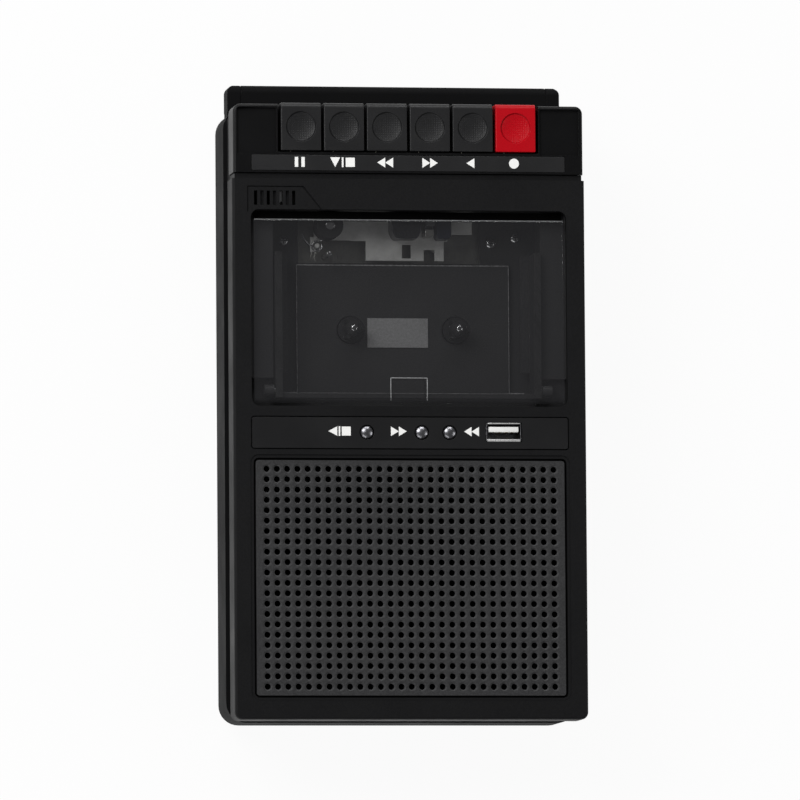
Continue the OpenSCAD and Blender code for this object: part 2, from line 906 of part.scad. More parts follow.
module key_surround()
    color("#1a1a1b") {
        edge_y = in_y(surround_l);
        rim_in = surround_in + face_edge + field_in;
        difference() {
            union() {
                difference() {
                    intersection() {
                        face_block(surround_in);
                        key_half(edge_y, true);
                    }
                    body_prism(wall, split_z - past, plate_z);
                }
                // Cheeks at the ends of the key bay carry the key shaft
                both_sides([key_bay_w / 2, key_bay_w / 2 + cheek_t],
                    [shaft_y - cheek_end, key_end - lip_in - gap], [rail_z, plate_z + past]);
                span([-key_bay_w / 2 - past, key_bay_w / 2 + past],
                    [in_y(rail_in + rail_l), in_y(rail_in)], [rail_z, rail_z + rail_t]);
                for (p = screw_spots)
                    if (p[1] > edge_y) rod_z(boss_d / 2, p[0], p[1], p[2], plate_z + past);
            }
            span([-key_bay_w / 2, key_bay_w / 2], [in_y(key_back), key_end + past],
                [rail_z + rail_t, body_h + past]);
            for (p = screw_spots)
                if (p[1] > edge_y) rod_z(screw_d / 2 + run_gap, p[0], p[1], p[2] - past, screw_z + screw_l);
            rod_x(key_shaft_d / 2 + run_gap, -key_bay_w / 2 - cheek_t - past,
                key_bay_w / 2 + cheek_t + past, shaft_y, shaft_z);
            // Sunk fields beside the keys
            both_sides([key_bay_w / 2 + field_in, body_w / 2 - rim_in],
                [in_y(field_l), key_end - rim_in], [body_h - field_deep, body_h + past]);
            // Seat of the label strip
            translate([0, in_y(label_in), body_h - label_t])
                linear_extrude(label_t + past)
                    plan(label_w + 2 * seat_gap, label_l + 2 * seat_gap, label_r + seat_gap);
        }
    }

module label_strip()
    color("#2d2d2e")
    translate([0, in_y(label_in), body_h - label_t])
        linear_extrude(label_t) plan(label_w, label_l, label_r);

module control_strip()
    color("#222223")
    difference() {
        translate([0, strip_y, body_h - strip_t])
            linear_extrude(strip_t) plan(strip_w, strip_l, strip_r);
        for (x = button_x)
            rod_z(button_d / 2 + gap, x, button_y, body_h - strip_t - past, body_h + past);
        span([usb_x - usb_w / 2 - gap, usb_x + usb_w / 2 + gap],
            [usb_y - usb_h / 2 - gap, usb_y + usb_h / 2 + gap], [body_h - strip_t - past, body_h + past]);
    }

module speaker_grille()
    color("#333334")
    difference() {
        translate([0, grille_y, baffle_z])
            linear_extrude(grille_t) plan(grille_w - 2 * grille_gap, grille_l - 2 * grille_gap,
                grille_r - grille_gap);
        for (i = [0 : hole_cols - 1], j = [0 : hole_rows - 1])
            translate([(i - (hole_cols - 1) / 2) * hole_pitch,
                grille_y + (j - (hole_rows - 1) / 2) * hole_pitch, baffle_z - past])
                cylinder(d = hole_d, h = grille_t + 2 * past);
    }

module rubber_feet()
    color("#101010")
    for (x = [-foot_x, foot_x], y = [low_end + foot_low_in, key_end - foot_key_in])
        translate([x, y, 0])
            rotate_extrude()
                polygon([
                    [0, 0], [foot_d / 2 - foot_ease, 0], [foot_d / 2, foot_ease],
                    [foot_d / 2, foot_h], [0, foot_h]
                ]);

module case_screws()
    color("#8a8a8c")
    for (p = screw_spots) {
        difference() {
            rod_z(screw_head_d / 2, p[0], p[1], screw_z - screw_head_h, screw_z);
            for (a = [0, 90])
                translate([p[0], p[1], screw_z - screw_head_h])
                    rotate(a) cube(screw_slot, center = true);
        }
        rod_z(screw_d / 2, p[0], p[1], screw_z - skin, screw_z + screw_l - screw_tip_gap);
    }

// Handle

module handle_profile(x0, x1, reach) {
    r = handle_r;
    translate([x0, 0, 0]) rotate([90, 0, 90])
        linear_extrude(x1 - x0) {
            translate([key_end + gap, handle_z]) square([reach - gap - r, handle_t]);
            translate([key_end + gap, handle_z + r]) square([reach - gap, handle_t - 2 * r]);
            for (z = [r, handle_t - r])
                translate([key_end + reach - r, handle_z + z]) circle(r);
        }
}

module handle_grip()
    color("#141414") {
        half = handle_w / 2 - arm_w;
        handle_profile(-half + handle_notch, half - handle_notch, handle_out);
        for (x = [-half, half - handle_notch])
            handle_profile(x, x + handle_notch, handle_out - handle_notch_deep);
    }

module handle_arms()
    color("#141414")
    for (s = [0, 1]) mirror([s, 0, 0]) {
        x1 = handle_w / 2;
        x0 = x1 - arm_w;
        arm_end = key_end - wall - handle_travel - gap;
        arm_low = handle_z + arm_inset;
        arm_top = handle_z + handle_t - arm_inset;
        intersection() {
            handle_profile(x0, x1, handle_out);
            translate([0, 0, handle_z - past]) linear_extrude(handle_t + 2 * past) {
                square([x1 - handle_r, key_end + handle_out + past]);
                square([x1, key_end + handle_out - handle_r]);
                translate([x1 - handle_r, key_end + handle_out - handle_r]) circle(handle_r);
            }
        }
        span([x0, x1], [arm_end - stop_l, key_end + gap], [arm_low, arm_top]);
        // The stop that meets the inside of the end wall
        span([x0, x0 + stop_w], [arm_end - stop_l, arm_end], [arm_low, arm_top + stop_h]);
    }

// Keys

module key_dish() {
    r = (pow(dish_d / 2, 2) + pow(dish_deep, 2)) / (2 * dish_deep);
    translate([0, in_y(dish_in), key_top + r - dish_deep]) sphere(r, $fn = 96);
}

module piano_key(i, tail) {
    nose_r = key_nose_r;
    translate([key_x(i), 0, 0])
        difference() {
            union() {
                difference() {
                    translate([-key_w / 2, 0, 0]) rotate([90, 0, 90])
                        linear_extrude(key_w) {
                            translate([in_y(key_l), key_low]) square([key_l, key_skirt - nose_r]);
                            translate([in_y(key_l), key_low]) square([key_l - nose_r, key_skirt]);
                            translate([key_end - nose_r, key_top - nose_r]) circle(nose_r);
                        }
                    span([-key_w / 2 + key_wall, key_w / 2 - key_wall],
                        [in_y(key_l) - past, key_end - key_front], [key_low - past, key_top - key_roof]);
                    key_dish();
                }
                // Lever arm from the cap to the shaft, with its tail
                span([-lever_w / 2, lever_w / 2], [shaft_y, key_end - key_front + past],
                    [shaft_z - lever_r, shaft_z + lever_r]);
                span([-lever_w / 2, lever_w / 2], [in_y(key_l - lever_lap), key_end - key_front + past],
                    [shaft_z, key_top - key_roof + dish_deep]);
                rod_x(lever_r, -lever_w / 2, lever_w / 2, shaft_y, shaft_z);
                span([-lever_w / 2, lever_w / 2], [shaft_y - tail_t / 2, shaft_y + tail_t / 2],
                    [shaft_z - tail, shaft_z]);
            }
            rod_x(key_shaft_d / 2 + run_gap, -lever_w, lever_w, shaft_y, shaft_z);
            key_dish();
        }
}

module pause_key() color("#2b2b2c") piano_key(0, key_tail);
module stop_eject_key() color("#2b2b2c") piano_key(1, key_tail);
module rewind_key() color("#2b2b2c") piano_key(2, key_tail);
module fast_forward_key() color("#2b2b2c") piano_key(3, key_tail);
module play_key() color("#2b2b2c") piano_key(4, play_tail);
module record_key() color("#b01020") piano_key(5, key_tail);

module key_shaft()
    color("#a0a0a2")
    rod_x(key_shaft_d / 2, -key_bay_w / 2 - cheek_t, key_bay_w / 2 + cheek_t, shaft_y, shaft_z);

module key_return_spring()
    color("#b0b0a8") {
        z = rail_z + rail_t;
        rise = shaft_z - lever_r - gap - z - comb_t;
        root_y = in_y(rail_in + rail_l) + leaf_root;
        tip_y = shaft_y + tail_t / 2 + leaf_past;
        span([-key_bay_w / 2 + gap, key_bay_w / 2 - gap],
            [in_y(rail_in + rail_l), in_y(rail_in)], [z, z + comb_t]);
        for (i = [0 : key_count - 1])
            translate([key_x(i) - leaf_w / 2, 0, 0]) rotate([90, 0, 90])
                linear_extrude(leaf_w)
                    polygon([
                        [root_y, z], [root_y, z + comb_t],
                        [tip_y, z + rise + comb_t], [tip_y, z + rise]
                    ]);
    }

// Cassette door

module door_window()
    color("#2a2a2b", 0.6) {
        r_low = window_t;
        r_top = window_top_r;
        translate([-door_w / 2, 0, 0]) rotate([90, 0, 90])
            linear_extrude(door_w) {
                translate([door_y0 + r_low, window_z]) square([door_l - r_low - r_top, window_t]);
                translate([door_y1 - r_top - skin, window_z]) square([r_top + skin, window_t - r_top]);
                translate([door_y1 - r_top, body_h - r_top]) circle(r_top);
                intersection() {
                    translate([door_y0 + r_low, window_z]) circle(r_low);
                    translate([door_y0, window_z]) square([r_low + skin, window_t]);
                }
            }
        // The moulded tab behind the lower edge
        difference() {
            span([-tab_w / 2, tab_w / 2], [door_y0 + r_low, door_y0 + tab_l],
                [window_z - tab_h, window_z + skin]);
            span([-tab_w / 2 + tab_wall, tab_w / 2 - tab_wall], [door_y0, door_y0 + tab_l - tab_wall],
                [window_z - tab_h - past, window_z + skin]);
        }
    }

module cassette_carrier()
    color("#1c1c1d")
    difference() {
        union() {
            both_sides([carrier_x - rail_w, carrier_x], [hinge_y - carrier_foot, door_y1 - carrier_top_in],
                [carrier_low, window_z]);
            both_sides([carrier_x - rail_w - lip_w, carrier_x],
                [hinge_y + carrier_lip_in, door_y1 - carrier_top_in],
                [carrier_low, carrier_low + lip_t]);
            span([-carrier_x, carrier_x], [hinge_y - carrier_foot, hinge_y - carrier_foot + bar_t],
                [hinge_z - bar_deep, window_z - tab_h - gap]);
        }
        rod_x(hinge_pin_d / 2 + press_gap, -carrier_x - past, carrier_x + past, hinge_y, hinge_z);
    }

module door_hinge_pins()
    color("#a8a8aa")
    for (s = [0, 1]) mirror([s, 0, 0])
        rod_x(hinge_pin_d / 2, carrier_x - rail_w, well_w / 2 + well_wall + pin_past, hinge_y, hinge_z);

module door_hook()
    color("#1c1c1d") {
        span([hook_x - hook_w / 2, hook_x + hook_w / 2], [hook_y, hook_y + hook_t], [hook_low, window_z]);
        span([hook_x - hook_w / 2, hook_x + hook_w / 2], [hook_y - lip_reach, hook_y + skin],
            [hook_low, hook_low + hook_lip_t]);
    }

module door_latch()
    color("#b0b0b0") {
        hook_side = [hook_x - hook_w / 2, hook_x + hook_w / 2];
        eject_side = [eject_x - lever_w / 2, eject_x + lever_w / 2];
        z0 = bridge_top + gap;
        z1 = z0 + latch_t;
        nose_z = hook_low + hook_lip_t + latch_over;
        nose_y = hook_y - lip_reach - gap;
        nose_back = nose_y - latch_nose;
        // A bar set back from the other keys' tails, with a nib for the eject key
        bar_y = push_y - latch_back;
        span([eject_side[0], hook_side[1]], [bar_y - latch_bar_w, bar_y], [z0, z1]);
        span(eject_side, [bar_y - latch_bar_w, push_y], [z0, z1]);
        span(hook_side, [nose_back, bar_y], [z0, z1]);
        span(hook_side, [nose_back, nose_back + latch_post], [z0, nose_z + latch_nose_t]);
        span(hook_side, [nose_back, nose_y], [nose_z, nose_z + latch_nose_t]);
    }

// Cassette well and tape transport

module cassette_well()
    color("#19191a") {
        rim = well_rim_x + well_wall;
        rim_y0 = opening_y0 - well_wall;
        rim_y1 = opening_y1 + well_wall;
        deck_x = well_w / 2;
        step_y = hinge_y + ledge_step;
        difference() {
            union() {
                // Rim against the underside of the cover, and the ledges beside the well
                span([-rim, rim], [rim_y0, rim_y1], [ledge_low - ledge_t, plate_z]);
                span([-deck_x - well_wall, deck_x + well_wall], [rim_y0, rim_y1], [well_under, ledge_z]);
            }
            span([-well_rim_x, well_rim_x], [step_y, opening_y1], [ledge_z, plate_z + past]);
            span([-well_rim_x, well_rim_x], [opening_y0, step_y + past], [ledge_low, plate_z + past]);
            both_sides([deck_x + well_wall, rim + past], [step_y + ledge_t, rim_y1 + past],
                [ledge_low - ledge_t - past, ledge_z - ledge_t]);
            span([-deck_x, deck_x], [opening_y0, opening_y1], [well_z, plate_z + past]);
            // The way through for the head bridge and the latch
            span([bridge_cut_x0, bridge_cut_x1], [bridge_cut_y0, rim_y1 + past],
                [well_under - past, bridge_cut_top]);
            for (s = [-1, 1])
                rod_z(spindle_hole_r, s * spindle_pitch / 2, spindle_y, well_under - past, platform_z + past);
        }
        difference() {
            span([-platform_w / 2, platform_w / 2], [platform_y0, platform_y1], [well_z - skin, platform_z]);
            for (s = [-1, 1])
                rod_z(spindle_hole_r, s * spindle_pitch / 2, spindle_y, well_under - past, platform_z + past);
        }
        // Bosses for the hinge pins
        for (s = [0, 1]) mirror([s, 0, 0])
            difference() {
                union() {
                    rod_x(boss_r, deck_x, deck_x + well_wall + boss_l, hinge_y, hinge_z);
                    span([deck_x, deck_x + well_wall + boss_l], [hinge_y - boss_r, hinge_y + boss_r],
                        [ledge_low - skin, hinge_z]);
                }
                rod_x(hinge_pin_d / 2 + run_gap, deck_x - past, deck_x + well_wall + boss_l + past,
                    hinge_y, hinge_z);
            }
    }

module deck_plate()
    color("#8c8c8c")
    translate([-plate_left, spindle_y - plate_set, platform_z])
        linear_extrude(plate_t) square([plate_w, plate_l], center = true);

module transport_chassis()
    color("#9a9a98") {
        top = chassis_z + chassis_t;
        difference() {
            span([-chassis_w / 2, chassis_w / 2], [chassis_y0, chassis_y1], [chassis_z, top]);
            rod_z(bearing_r + press_gap, -capstan_x, capstan_y, chassis_z - past, top + past);
            span([play_x - play_slot_w / 2, play_x + play_slot_w / 2],
                [push_y - bridge_tab - bridge_travel - gap, chassis_y1 + past],
                [chassis_z - past, top + past]);
        }
        // Axles of the spindles
        for (s = [-1, 1])
            rod_z(axle_d / 2, s * spindle_pitch / 2, spindle_y, top - skin, spindle_tip - axle_short);
        // Pads that the head bridge slides on
        for (x = pad_x) rod_z(pad_r, x, in_y(pad_in), top - skin, bridge_z - slide_gap);
        // Posts of the motor
        for (a = [-90, 0])
            rod_z(motor_post_d / 2, motor_x + motor_post_r * cos(a), motor_y + motor_post_r * sin(a),
                motor_top, chassis_z + skin);
    }

module capstan_bearing()
    color("#b08d57")
    difference() {
        top = chassis_z + chassis_t;
        union() {
            rod_z(bearing_r, -capstan_x, capstan_y, chassis_z - bearing_past, top + bearing_past);
            rod_z(bearing_r + bearing_flange, -capstan_x, capstan_y, top, top + bearing_flange_t);
        }
        rod_z(capstan_d / 2 + run_gap, -capstan_x, capstan_y,
            chassis_z - bearing_past - past, top + bearing_past + past);
    }

module capstan_shaft()
    color("#c8c8ca")
    rod_z(capstan_d / 2, -capstan_x, capstan_y, flywheel_z - shaft_past, body_h - capstan_deep);

module flywheel()
    color("#8f8f91")
    difference() {
        translate([-capstan_x, capstan_y, flywheel_z])
            rotate_extrude()
                polygon([
                    [0, 0], [flywheel_d / 2, 0], [flywheel_d / 2, wheel_rim],
                    [flywheel_d / 2 - groove_deep, wheel_rim],
                    [flywheel_d / 2 - groove_deep, flywheel_t - wheel_rim],
                    [flywheel_d / 2, flywheel_t - wheel_rim], [flywheel_d / 2, flywheel_t],
                    [hub_r, flywheel_t], [hub_r, flywheel_t + hub_h], [0, flywheel_t + hub_h]
                ]);
        rod_z(capstan_d / 2 + press_gap, -capstan_x, capstan_y,
            flywheel_z - past, flywheel_z + flywheel_t + hub_h + past);
    }

module motor()
    color("#b4b4b6") {
        rod_z(motor_d / 2, motor_x, motor_y, motor_top - motor_h, motor_top);
        rod_z(motor_shaft_r, motor_x, motor_y, motor_top - skin, motor_top + motor_shaft_l);
    }

module motor_pulley()
    color("#c0a060")
    difference() {
        translate([motor_x, motor_y, flywheel_z])
            rotate_extrude()
                polygon([
                    [0, 0], [pulley_d / 2, 0], [pulley_d / 2, wheel_rim],
                    [pulley_d / 2 - groove_deep, wheel_rim],
                    [pulley_d / 2 - groove_deep, flywheel_t - wheel_rim],
                    [pulley_d / 2, flywheel_t - wheel_rim], [pulley_d / 2, flywheel_t], [0, flywheel_t]
                ]);
        rod_z(motor_shaft_r + run_gap, motor_x, motor_y, flywheel_z - past, flywheel_z + flywheel_t + past);
    }

module belt_loop(grow) {
    hull() {
        translate([-capstan_x, capstan_y]) circle(flywheel_d / 2 - groove_deep + gap + grow, $fn = 64);
        translate([motor_x, motor_y]) circle(pulley_d / 2 - groove_deep + gap + grow, $fn = 24);
    }
}

module drive_belt()
    color("#151515")
    translate([0, 0, belt_z])
        linear_extrude(belt_w)
            difference() {
                belt_loop(belt_t);
                belt_loop(0);
            }

module spindle(x) {
    base = chassis_z + chassis_t + spindle_lift;
    difference() {
        union() {
            rod_z(reel_disc_r, x, spindle_y, base, base + reel_disc_t);
            rod_z(spindle_r, x, spindle_y, base, spindle_tip - spindle_cone);
            translate([x, spindle_y, spindle_tip - spindle_cone])
                cylinder(r1 = spindle_r, r2 = spindle_tip_r, h = spindle_cone);
            rod_z(spindle_r + spindle_collar, x, spindle_y, base, platform_z + spindle_collar_h);
            for (a = [0, 120, 240])
                translate([x, spindle_y, platform_z]) rotate(a)
                    translate([0, -fin_t / 2, 0])
                        cube([spindle_r + fin_out, fin_t, spindle_tip - platform_z - fin_short]);
        }
        rod_z(axle_d / 2 + run_gap, x, spindle_y, base - past, spindle_tip - axle_short + run_room);
    }
}

module supply_spindle() color("#26262a") spindle(spindle_pitch / 2);
module takeup_spindle() color("#26262a") spindle(-spindle_pitch / 2);

module head_bridge()
    color("#8e8e90")
    difference() {
        flat = [bridge_z, bridge_top];
        through = [bridge_z - past, bridge_top + past];
        arm_x = [play_x - bridge_arm_w / 2, play_x + bridge_arm_w / 2];
        tab_low = shaft_z - play_tail;
        union() {
            span(bridge_x, [bridge_step_y, bridge_y1], flat);
            span(bridge_nose_x, [bridge_y0, bridge_y1], flat);
            span([-capstan_x - roller_arm, bridge_x[0] + past],
                [roller_y - roller_arm, roller_y + roller_arm], flat);
            span([bridge_x[1] - past, arm_x[1]], [bridge_y1 - bridge_arm, bridge_y1], flat);
            // The arm and the tab that the play key pushes
            span(arm_x, [bridge_y1 - past, push_y - bridge_tab / 2], flat);
            span(arm_x, [push_y - bridge_tab, push_y - bridge_tab / 2], [tab_low, bridge_top]);
            span(arm_x, [push_y - bridge_tab, push_y], [tab_low, tab_low + bridge_tab]);
        }
        span(bridge_slot_x, [bridge_y0 + past, bridge_y0 + past + bridge_slot_l], through);
        span(bridge_notch_x, [bridge_y0 - past, bridge_y0 + bridge_notch_l], through);
    }

module head_can(w, l, h) {
    y0 = in_y(head_in);
    nose = w * head_nose;
    intersection() {
        translate([0, y0, bridge_top])
            linear_extrude(h) {
                translate([-w / 2, nose]) square([w, l - nose]);
                translate([0, nose]) circle(w / 2);
            }
        span([-w, w], [y0, y0 + l], [0, body_h]);
    }
}

module play_head() color("#c2c2c4") head_can(play_head_w, play_head_l, play_head_h);
module erase_head() color("#4a4a4c") translate([erase_x, 0, 0]) head_can(erase_head_w, erase_head_l, erase_head_h);

module pinch_roller_pin()
    color("#c8c8ca") {
        cap_z = body_h - roller_deep + roller_cap_gap;
        rod_z(roller_pin_d / 2, -capstan_x, roller_y, bridge_top, cap_z + skin);
        rod_z(roller_cap_r, -capstan_x, roller_y, cap_z, cap_z + roller_cap_t);
    }

module pinch_roller()
    color("#101010")
    difference() {
        rod_z(roller_d / 2, -capstan_x, roller_y, bridge_top + gap, body_h - roller_deep);
        rod_z(roller_pin_d / 2 + run_gap, -capstan_x, roller_y, bridge_top, body_h - roller_deep + past);
    }

// Controls on the strip

module round_button(x) {
    stem_low = button_board_z + board_t + switch_h + button_travel + gap;
    top = body_h + button_rise;
    r = button_d / 2;
    dome = (pow(r, 2) + pow(button_dome, 2)) / (2 * button_dome);
    flange_top = plate_z - gap;
    intersection() {
        rod_z(r, x, button_y, flange_top - button_flange_t / 2, top);
        translate([x, button_y, top - dome]) sphere(dome, $fn = 64);
    }
    rod_z(r + button_flange, x, button_y, flange_top - button_flange_t, flange_top);
    rod_z(button_stem_r, x, button_y, stem_low, flange_top - button_flange_t / 2);
}

module play_pause_button() color("#77777a") round_button(button_x[0]);
module next_button() color("#77777a") round_button(button_x[1]);
module previous_button() color("#77777a") round_button(button_x[2]);

module button_board()
    color("#2e5a34")
    span(button_board_x, [button_y - button_board_l / 2, button_y + button_board_l / 2],
        [button_board_z, button_board_z + board_t]);

module tact_switches()
    color("#303032")
    for (x = button_x)
        span([x - switch_w / 2, x + switch_w / 2], [button_y - switch_w / 2, button_y + switch_w / 2],
            [button_board_z + board_t, button_board_z + board_t + switch_h]);

module usb_socket()
    color("#b8b8ba") {
        z0 = button_board_z + board_t;
        half_w = usb_w / 2;
        half_h = usb_h / 2;
        difference() {
            span([usb_x - half_w, usb_x + half_w], [usb_y - half_h, usb_y + half_h], [z0, body_h - usb_sunk]);
            span([usb_x - half_w + usb_shell, usb_x + half_w - usb_shell],
                [usb_y - half_h + usb_shell, usb_y + half_h - usb_shell], [z0 + usb_back, body_h]);
        }
        span([usb_x - half_w + usb_tongue_in, usb_x + half_w - usb_tongue_in],
            [usb_y + usb_tongue[0], usb_y + usb_tongue[1]], [z0 + usb_back - skin, body_h - usb_tongue_deep]);
    }

// Speaker and microphone

module speaker_frame()
    color("#7c7c7e") {
        rim = speaker_d / 2;
        foot = magnet_d / 2 - magnet_lap;
        translate([0, grille_y, 0])
            rotate_extrude()
                polygon([
                    [rim - basket_lap, baffle_under], [rim, baffle_under],
                    [rim, baffle_under - speaker_flange],
                    [rim - basket_lap - basket_t / 2, baffle_under - speaker_flange],
                    [foot, basket_low - basket_t], [basket_hole_r, basket_low - basket_t],
                    [basket_hole_r, basket_low],
                    [foot - basket_t / 2, basket_low]
                ]);
    }

module speaker_cone()
    color("#2a2a2a")
    translate([0, grille_y, 0])
        rotate_extrude() {
            apex = basket_low + cone_up;
            edge = speaker_d / 2 - cone_in;
            polygon([
                [0, apex], [cone_r, apex - cone_dip], [edge, baffle_under - cone_low],
                [edge + cone_roll, baffle_under - cone_low / 2],
                [edge + cone_roll - cone_t, baffle_under - cone_t],
                [edge, baffle_under - cone_low + cone_t], [cone_r, apex - cone_dip + cone_t], [0, apex + cone_t]
            ]);
        }

module speaker_magnet()
    color("#3c3c3e")
    translate([0, grille_y, 0]) {
        top = basket_low - basket_t;
        rod_z(magnet_d / 2, 0, 0, top - magnet_t, top);
        rod_z(pole_r, 0, 0, top - skin, basket_low + pole_h);
    }

module microphone()
    color("#a6a6a8")
    rod_z(mic_capsule_r, mic_x + mic_slots / 2 * mic_pitch, in_y(mic_in + mic_slot_l / 3),
        plate_z - mic_capsule_h, plate_z);

// Boards, sockets and battery bay

module main_board()
    color("#2e5a34")
    difference() {
        union() {
            span([-main_board_x, main_board_x], [main_board_y0, main_board_y1], [board_z, board_top]);
            span([arm_board_x0, arm_board_x1], [arm_board_y0, arm_board_y1], [board_z, board_top]);
        }
        for (p = pillars) rod_z(pillar_d / 2 + gap, p[0], p[1], board_z - past, board_top + past);
        rod_z(motor_d / 2 + board_room, motor_x, motor_y, board_z - past, board_top + past);
    }

module board_components()
    color("#1d2a4a") {
        for (x = can_x) rod_z(can_r, x, main_board_y0 + can_in, board_top, board_top + can_h);
        for (x = chip_x)
            span([x, x + chip_w], [main_board_y1 - chip_in - chip_l, main_board_y1 - chip_in],
                [board_top, board_top + chip_h]);
    }

module volume_pot()
    color("#5a5a5c")
    difference() {
        span([wheel_x - pot_w / 2, wheel_x + pot_side], [wheel_y - pot_w / 2, wheel_y + pot_w / 2],
            [board_top, board_top + pot_h]);
        rod_z(wheel_stem_r, wheel_x, wheel_y, board_top + pot_floor, board_top + pot_h + past);
    }

module volume_wheel()
    color("#1a1a1a") {
        difference() {
            rod_z(wheel_d / 2, wheel_x, wheel_y, wheel_z, wheel_z + wheel_t);
            for (a = [0 : knurl_turn : 360 - knurl_turn])
                translate([wheel_x, wheel_y, wheel_z - past]) rotate(a)
                    translate([wheel_d / 2, 0, 0]) cylinder(r = knurl_r, h = wheel_t + 2 * past, $fn = 16);
        }
        rod_z(wheel_stem_r - run_gap, wheel_x, wheel_y, board_top + pot_floor + seat_gap, wheel_z + skin);
    }

module audio_jacks()
    color("#202022")
    for (y = jack_y)
        difference() {
            union() {
                span([inner_x - jack_l, inner_x], [y - jack_w / 2, y + jack_w / 2],
                    [board_top, board_top + jack_h]);
                rod_x(jack_collar_d / 2, inner_x - skin, body_w / 2 - jack_sunk, y, jack_z);
            }
            rod_x(jack_bore_d / 2, inner_x - jack_deep, body_w / 2 + past, y, jack_z);
        }

module power_inlet()
    color("#202022") {
        difference() {
            span([inner_x - jack_l, inner_x - gap], [inlet_y - inlet_w / 2, inlet_y + inlet_w / 2],
                [board_top, board_top + inlet_h]);
            rod_x(inlet_bore_d / 2, inner_x - inlet_deep, inner_x + past, inlet_y, inlet_z);
        }
        rod_x(inlet_pin_r, inner_x - inlet_deep - skin, inner_x - inlet_pin_back, inlet_y, inlet_z);
    }

module battery_springs()
    color("#c0c0b8")
    for (s = [-1, 1])
        translate([s * bay_w / 2, bay_y0 + bay_l / 2 + s * cell_off, floor_z + cell_d / 2])
            rotate([0, -90 * s, 0])
                rotate_extrude()
                    polygon([
                        [0, 0], [spring_r[0], 0], [spring_r[0], spring_h[0]],
                        [spring_r[1], spring_h[1]], [0, spring_h[1]]
                    ]);

module battery_contacts()
    color("#c8c8c0")
    for (s = [-1, 1])
        translate([s * bay_w / 2, bay_y0 + bay_l / 2 - s * cell_off, floor_z + cell_d / 2])
            rotate([0, -90 * s, 0])
                rotate_extrude()
                    polygon([
                        [0, 0], [contact_r[0], 0], [contact_r[0], contact_h[0]],
                        [contact_r[1], contact_h[0]], [contact_r[2], contact_h[1]], [0, contact_h[1]]
                    ]);

module battery_door()
    color("#161617") {
        top = back_z + battery_door_t;
        difference() {
            union() {
                span([-battery_door_w / 2, battery_door_w / 2], [bead_y, bay_y1 - door_lap], [back_z, top]);
                rod_x(bead_d / 2, -battery_door_w / 2, battery_door_w / 2, bead_y, bead_z);
            }
            // Finger ribs along the opening edge
            for (i = [0 : rib_count - 1])
                translate([-rib_l / 2, bay_y1 - door_lap - rib_in + i * rib_pitch, back_z - past])
                    cube([rib_l, rib_w, past + rib_deep]);
        }
        rod_x(bead_pin_d / 2, -battery_door_w / 2 - bead_pin_l, battery_door_w / 2 + bead_pin_l,
            bead_y, bead_z);
    }

rear_case();
front_cover();
key_surround();
speaker_grille();
control_strip();
label_strip();
rubber_feet();
case_screws();
cassette_well();
deck_plate();
transport_chassis();
capstan_bearing();
motor();
drive_belt();
main_board();
board_components();
speaker_frame();
speaker_cone();
speaker_magnet();
microphone();
usb_socket();
button_board();
tact_switches();
volume_pot();
audio_jacks();
power_inlet();
battery_springs();
battery_contacts();
key_shaft();
key_return_spring();
handle_grip();
handle_arms();
door_window();
cassette_carrier();
door_hinge_pins();
door_hook();
pause_key();
stop_eject_key();
rewind_key();
fast_forward_key();
play_key();
record_key();
head_bridge();
play_head();
erase_head();
pinch_roller_pin();
pinch_roller();
capstan_shaft();
flywheel();
motor_pulley();
supply_spindle();
takeup_spindle();
volume_wheel();
play_pause_button();
next_button();
previous_button();
battery_door();
door_latch();
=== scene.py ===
import math

import bmesh
import bpy
from mathutils import Matrix, Vector


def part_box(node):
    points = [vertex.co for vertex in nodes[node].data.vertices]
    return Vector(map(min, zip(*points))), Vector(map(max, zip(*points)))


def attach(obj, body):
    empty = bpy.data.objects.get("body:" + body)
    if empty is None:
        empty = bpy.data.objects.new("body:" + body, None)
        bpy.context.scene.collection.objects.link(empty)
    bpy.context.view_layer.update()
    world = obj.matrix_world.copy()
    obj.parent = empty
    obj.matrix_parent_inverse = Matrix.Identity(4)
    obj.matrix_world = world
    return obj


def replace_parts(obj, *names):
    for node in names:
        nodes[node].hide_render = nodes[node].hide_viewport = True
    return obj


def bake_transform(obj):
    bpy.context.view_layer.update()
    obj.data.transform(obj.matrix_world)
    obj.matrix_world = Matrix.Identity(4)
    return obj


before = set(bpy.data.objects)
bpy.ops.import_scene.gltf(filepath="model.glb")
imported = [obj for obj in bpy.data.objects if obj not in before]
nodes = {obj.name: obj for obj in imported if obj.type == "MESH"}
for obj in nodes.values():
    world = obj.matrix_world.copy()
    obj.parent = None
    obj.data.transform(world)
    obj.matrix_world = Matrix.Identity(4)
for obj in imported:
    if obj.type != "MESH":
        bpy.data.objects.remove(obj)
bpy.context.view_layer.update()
mm = 0.001


# Rear case: a deep black tub moulded in one piece, with the fine grain of its tool.
# Every moulding leaves the tool with its edges eased by a few tenths of a millimetre,
# and handling has polished the grain unevenly.
def linear(code):
    """A hex colour as the light that it reflects."""
    parts = [int(code[i:i + 2], 16) / 255 for i in (1, 3, 5)]
    return [c / 12.92 if c <= 0.04045 else ((c + 0.055) / 1.055) ** 2.4 for c in parts]


def lit(colour, share):
    """A colour made darker or paler by a share, as a shader socket takes it."""
    return [c * share for c in colour] + [1]


def new_group(name, inputs, outputs):
    """A shader group with named sockets, and its inside ends."""
    tree = bpy.data.node_groups.new(name, "ShaderNodeTree")
    for label, kind in inputs:
        tree.interface.new_socket(label, in_out="INPUT", socket_type="NodeSocket" + kind)
    for label, kind in outputs:
        tree.interface.new_socket(label, in_out="OUTPUT", socket_type="NodeSocket" + kind)
    inside = tree.nodes.new("NodeGroupInput").outputs
    outside = tree.nodes.new("NodeGroupOutput").inputs
    return tree, inside, outside


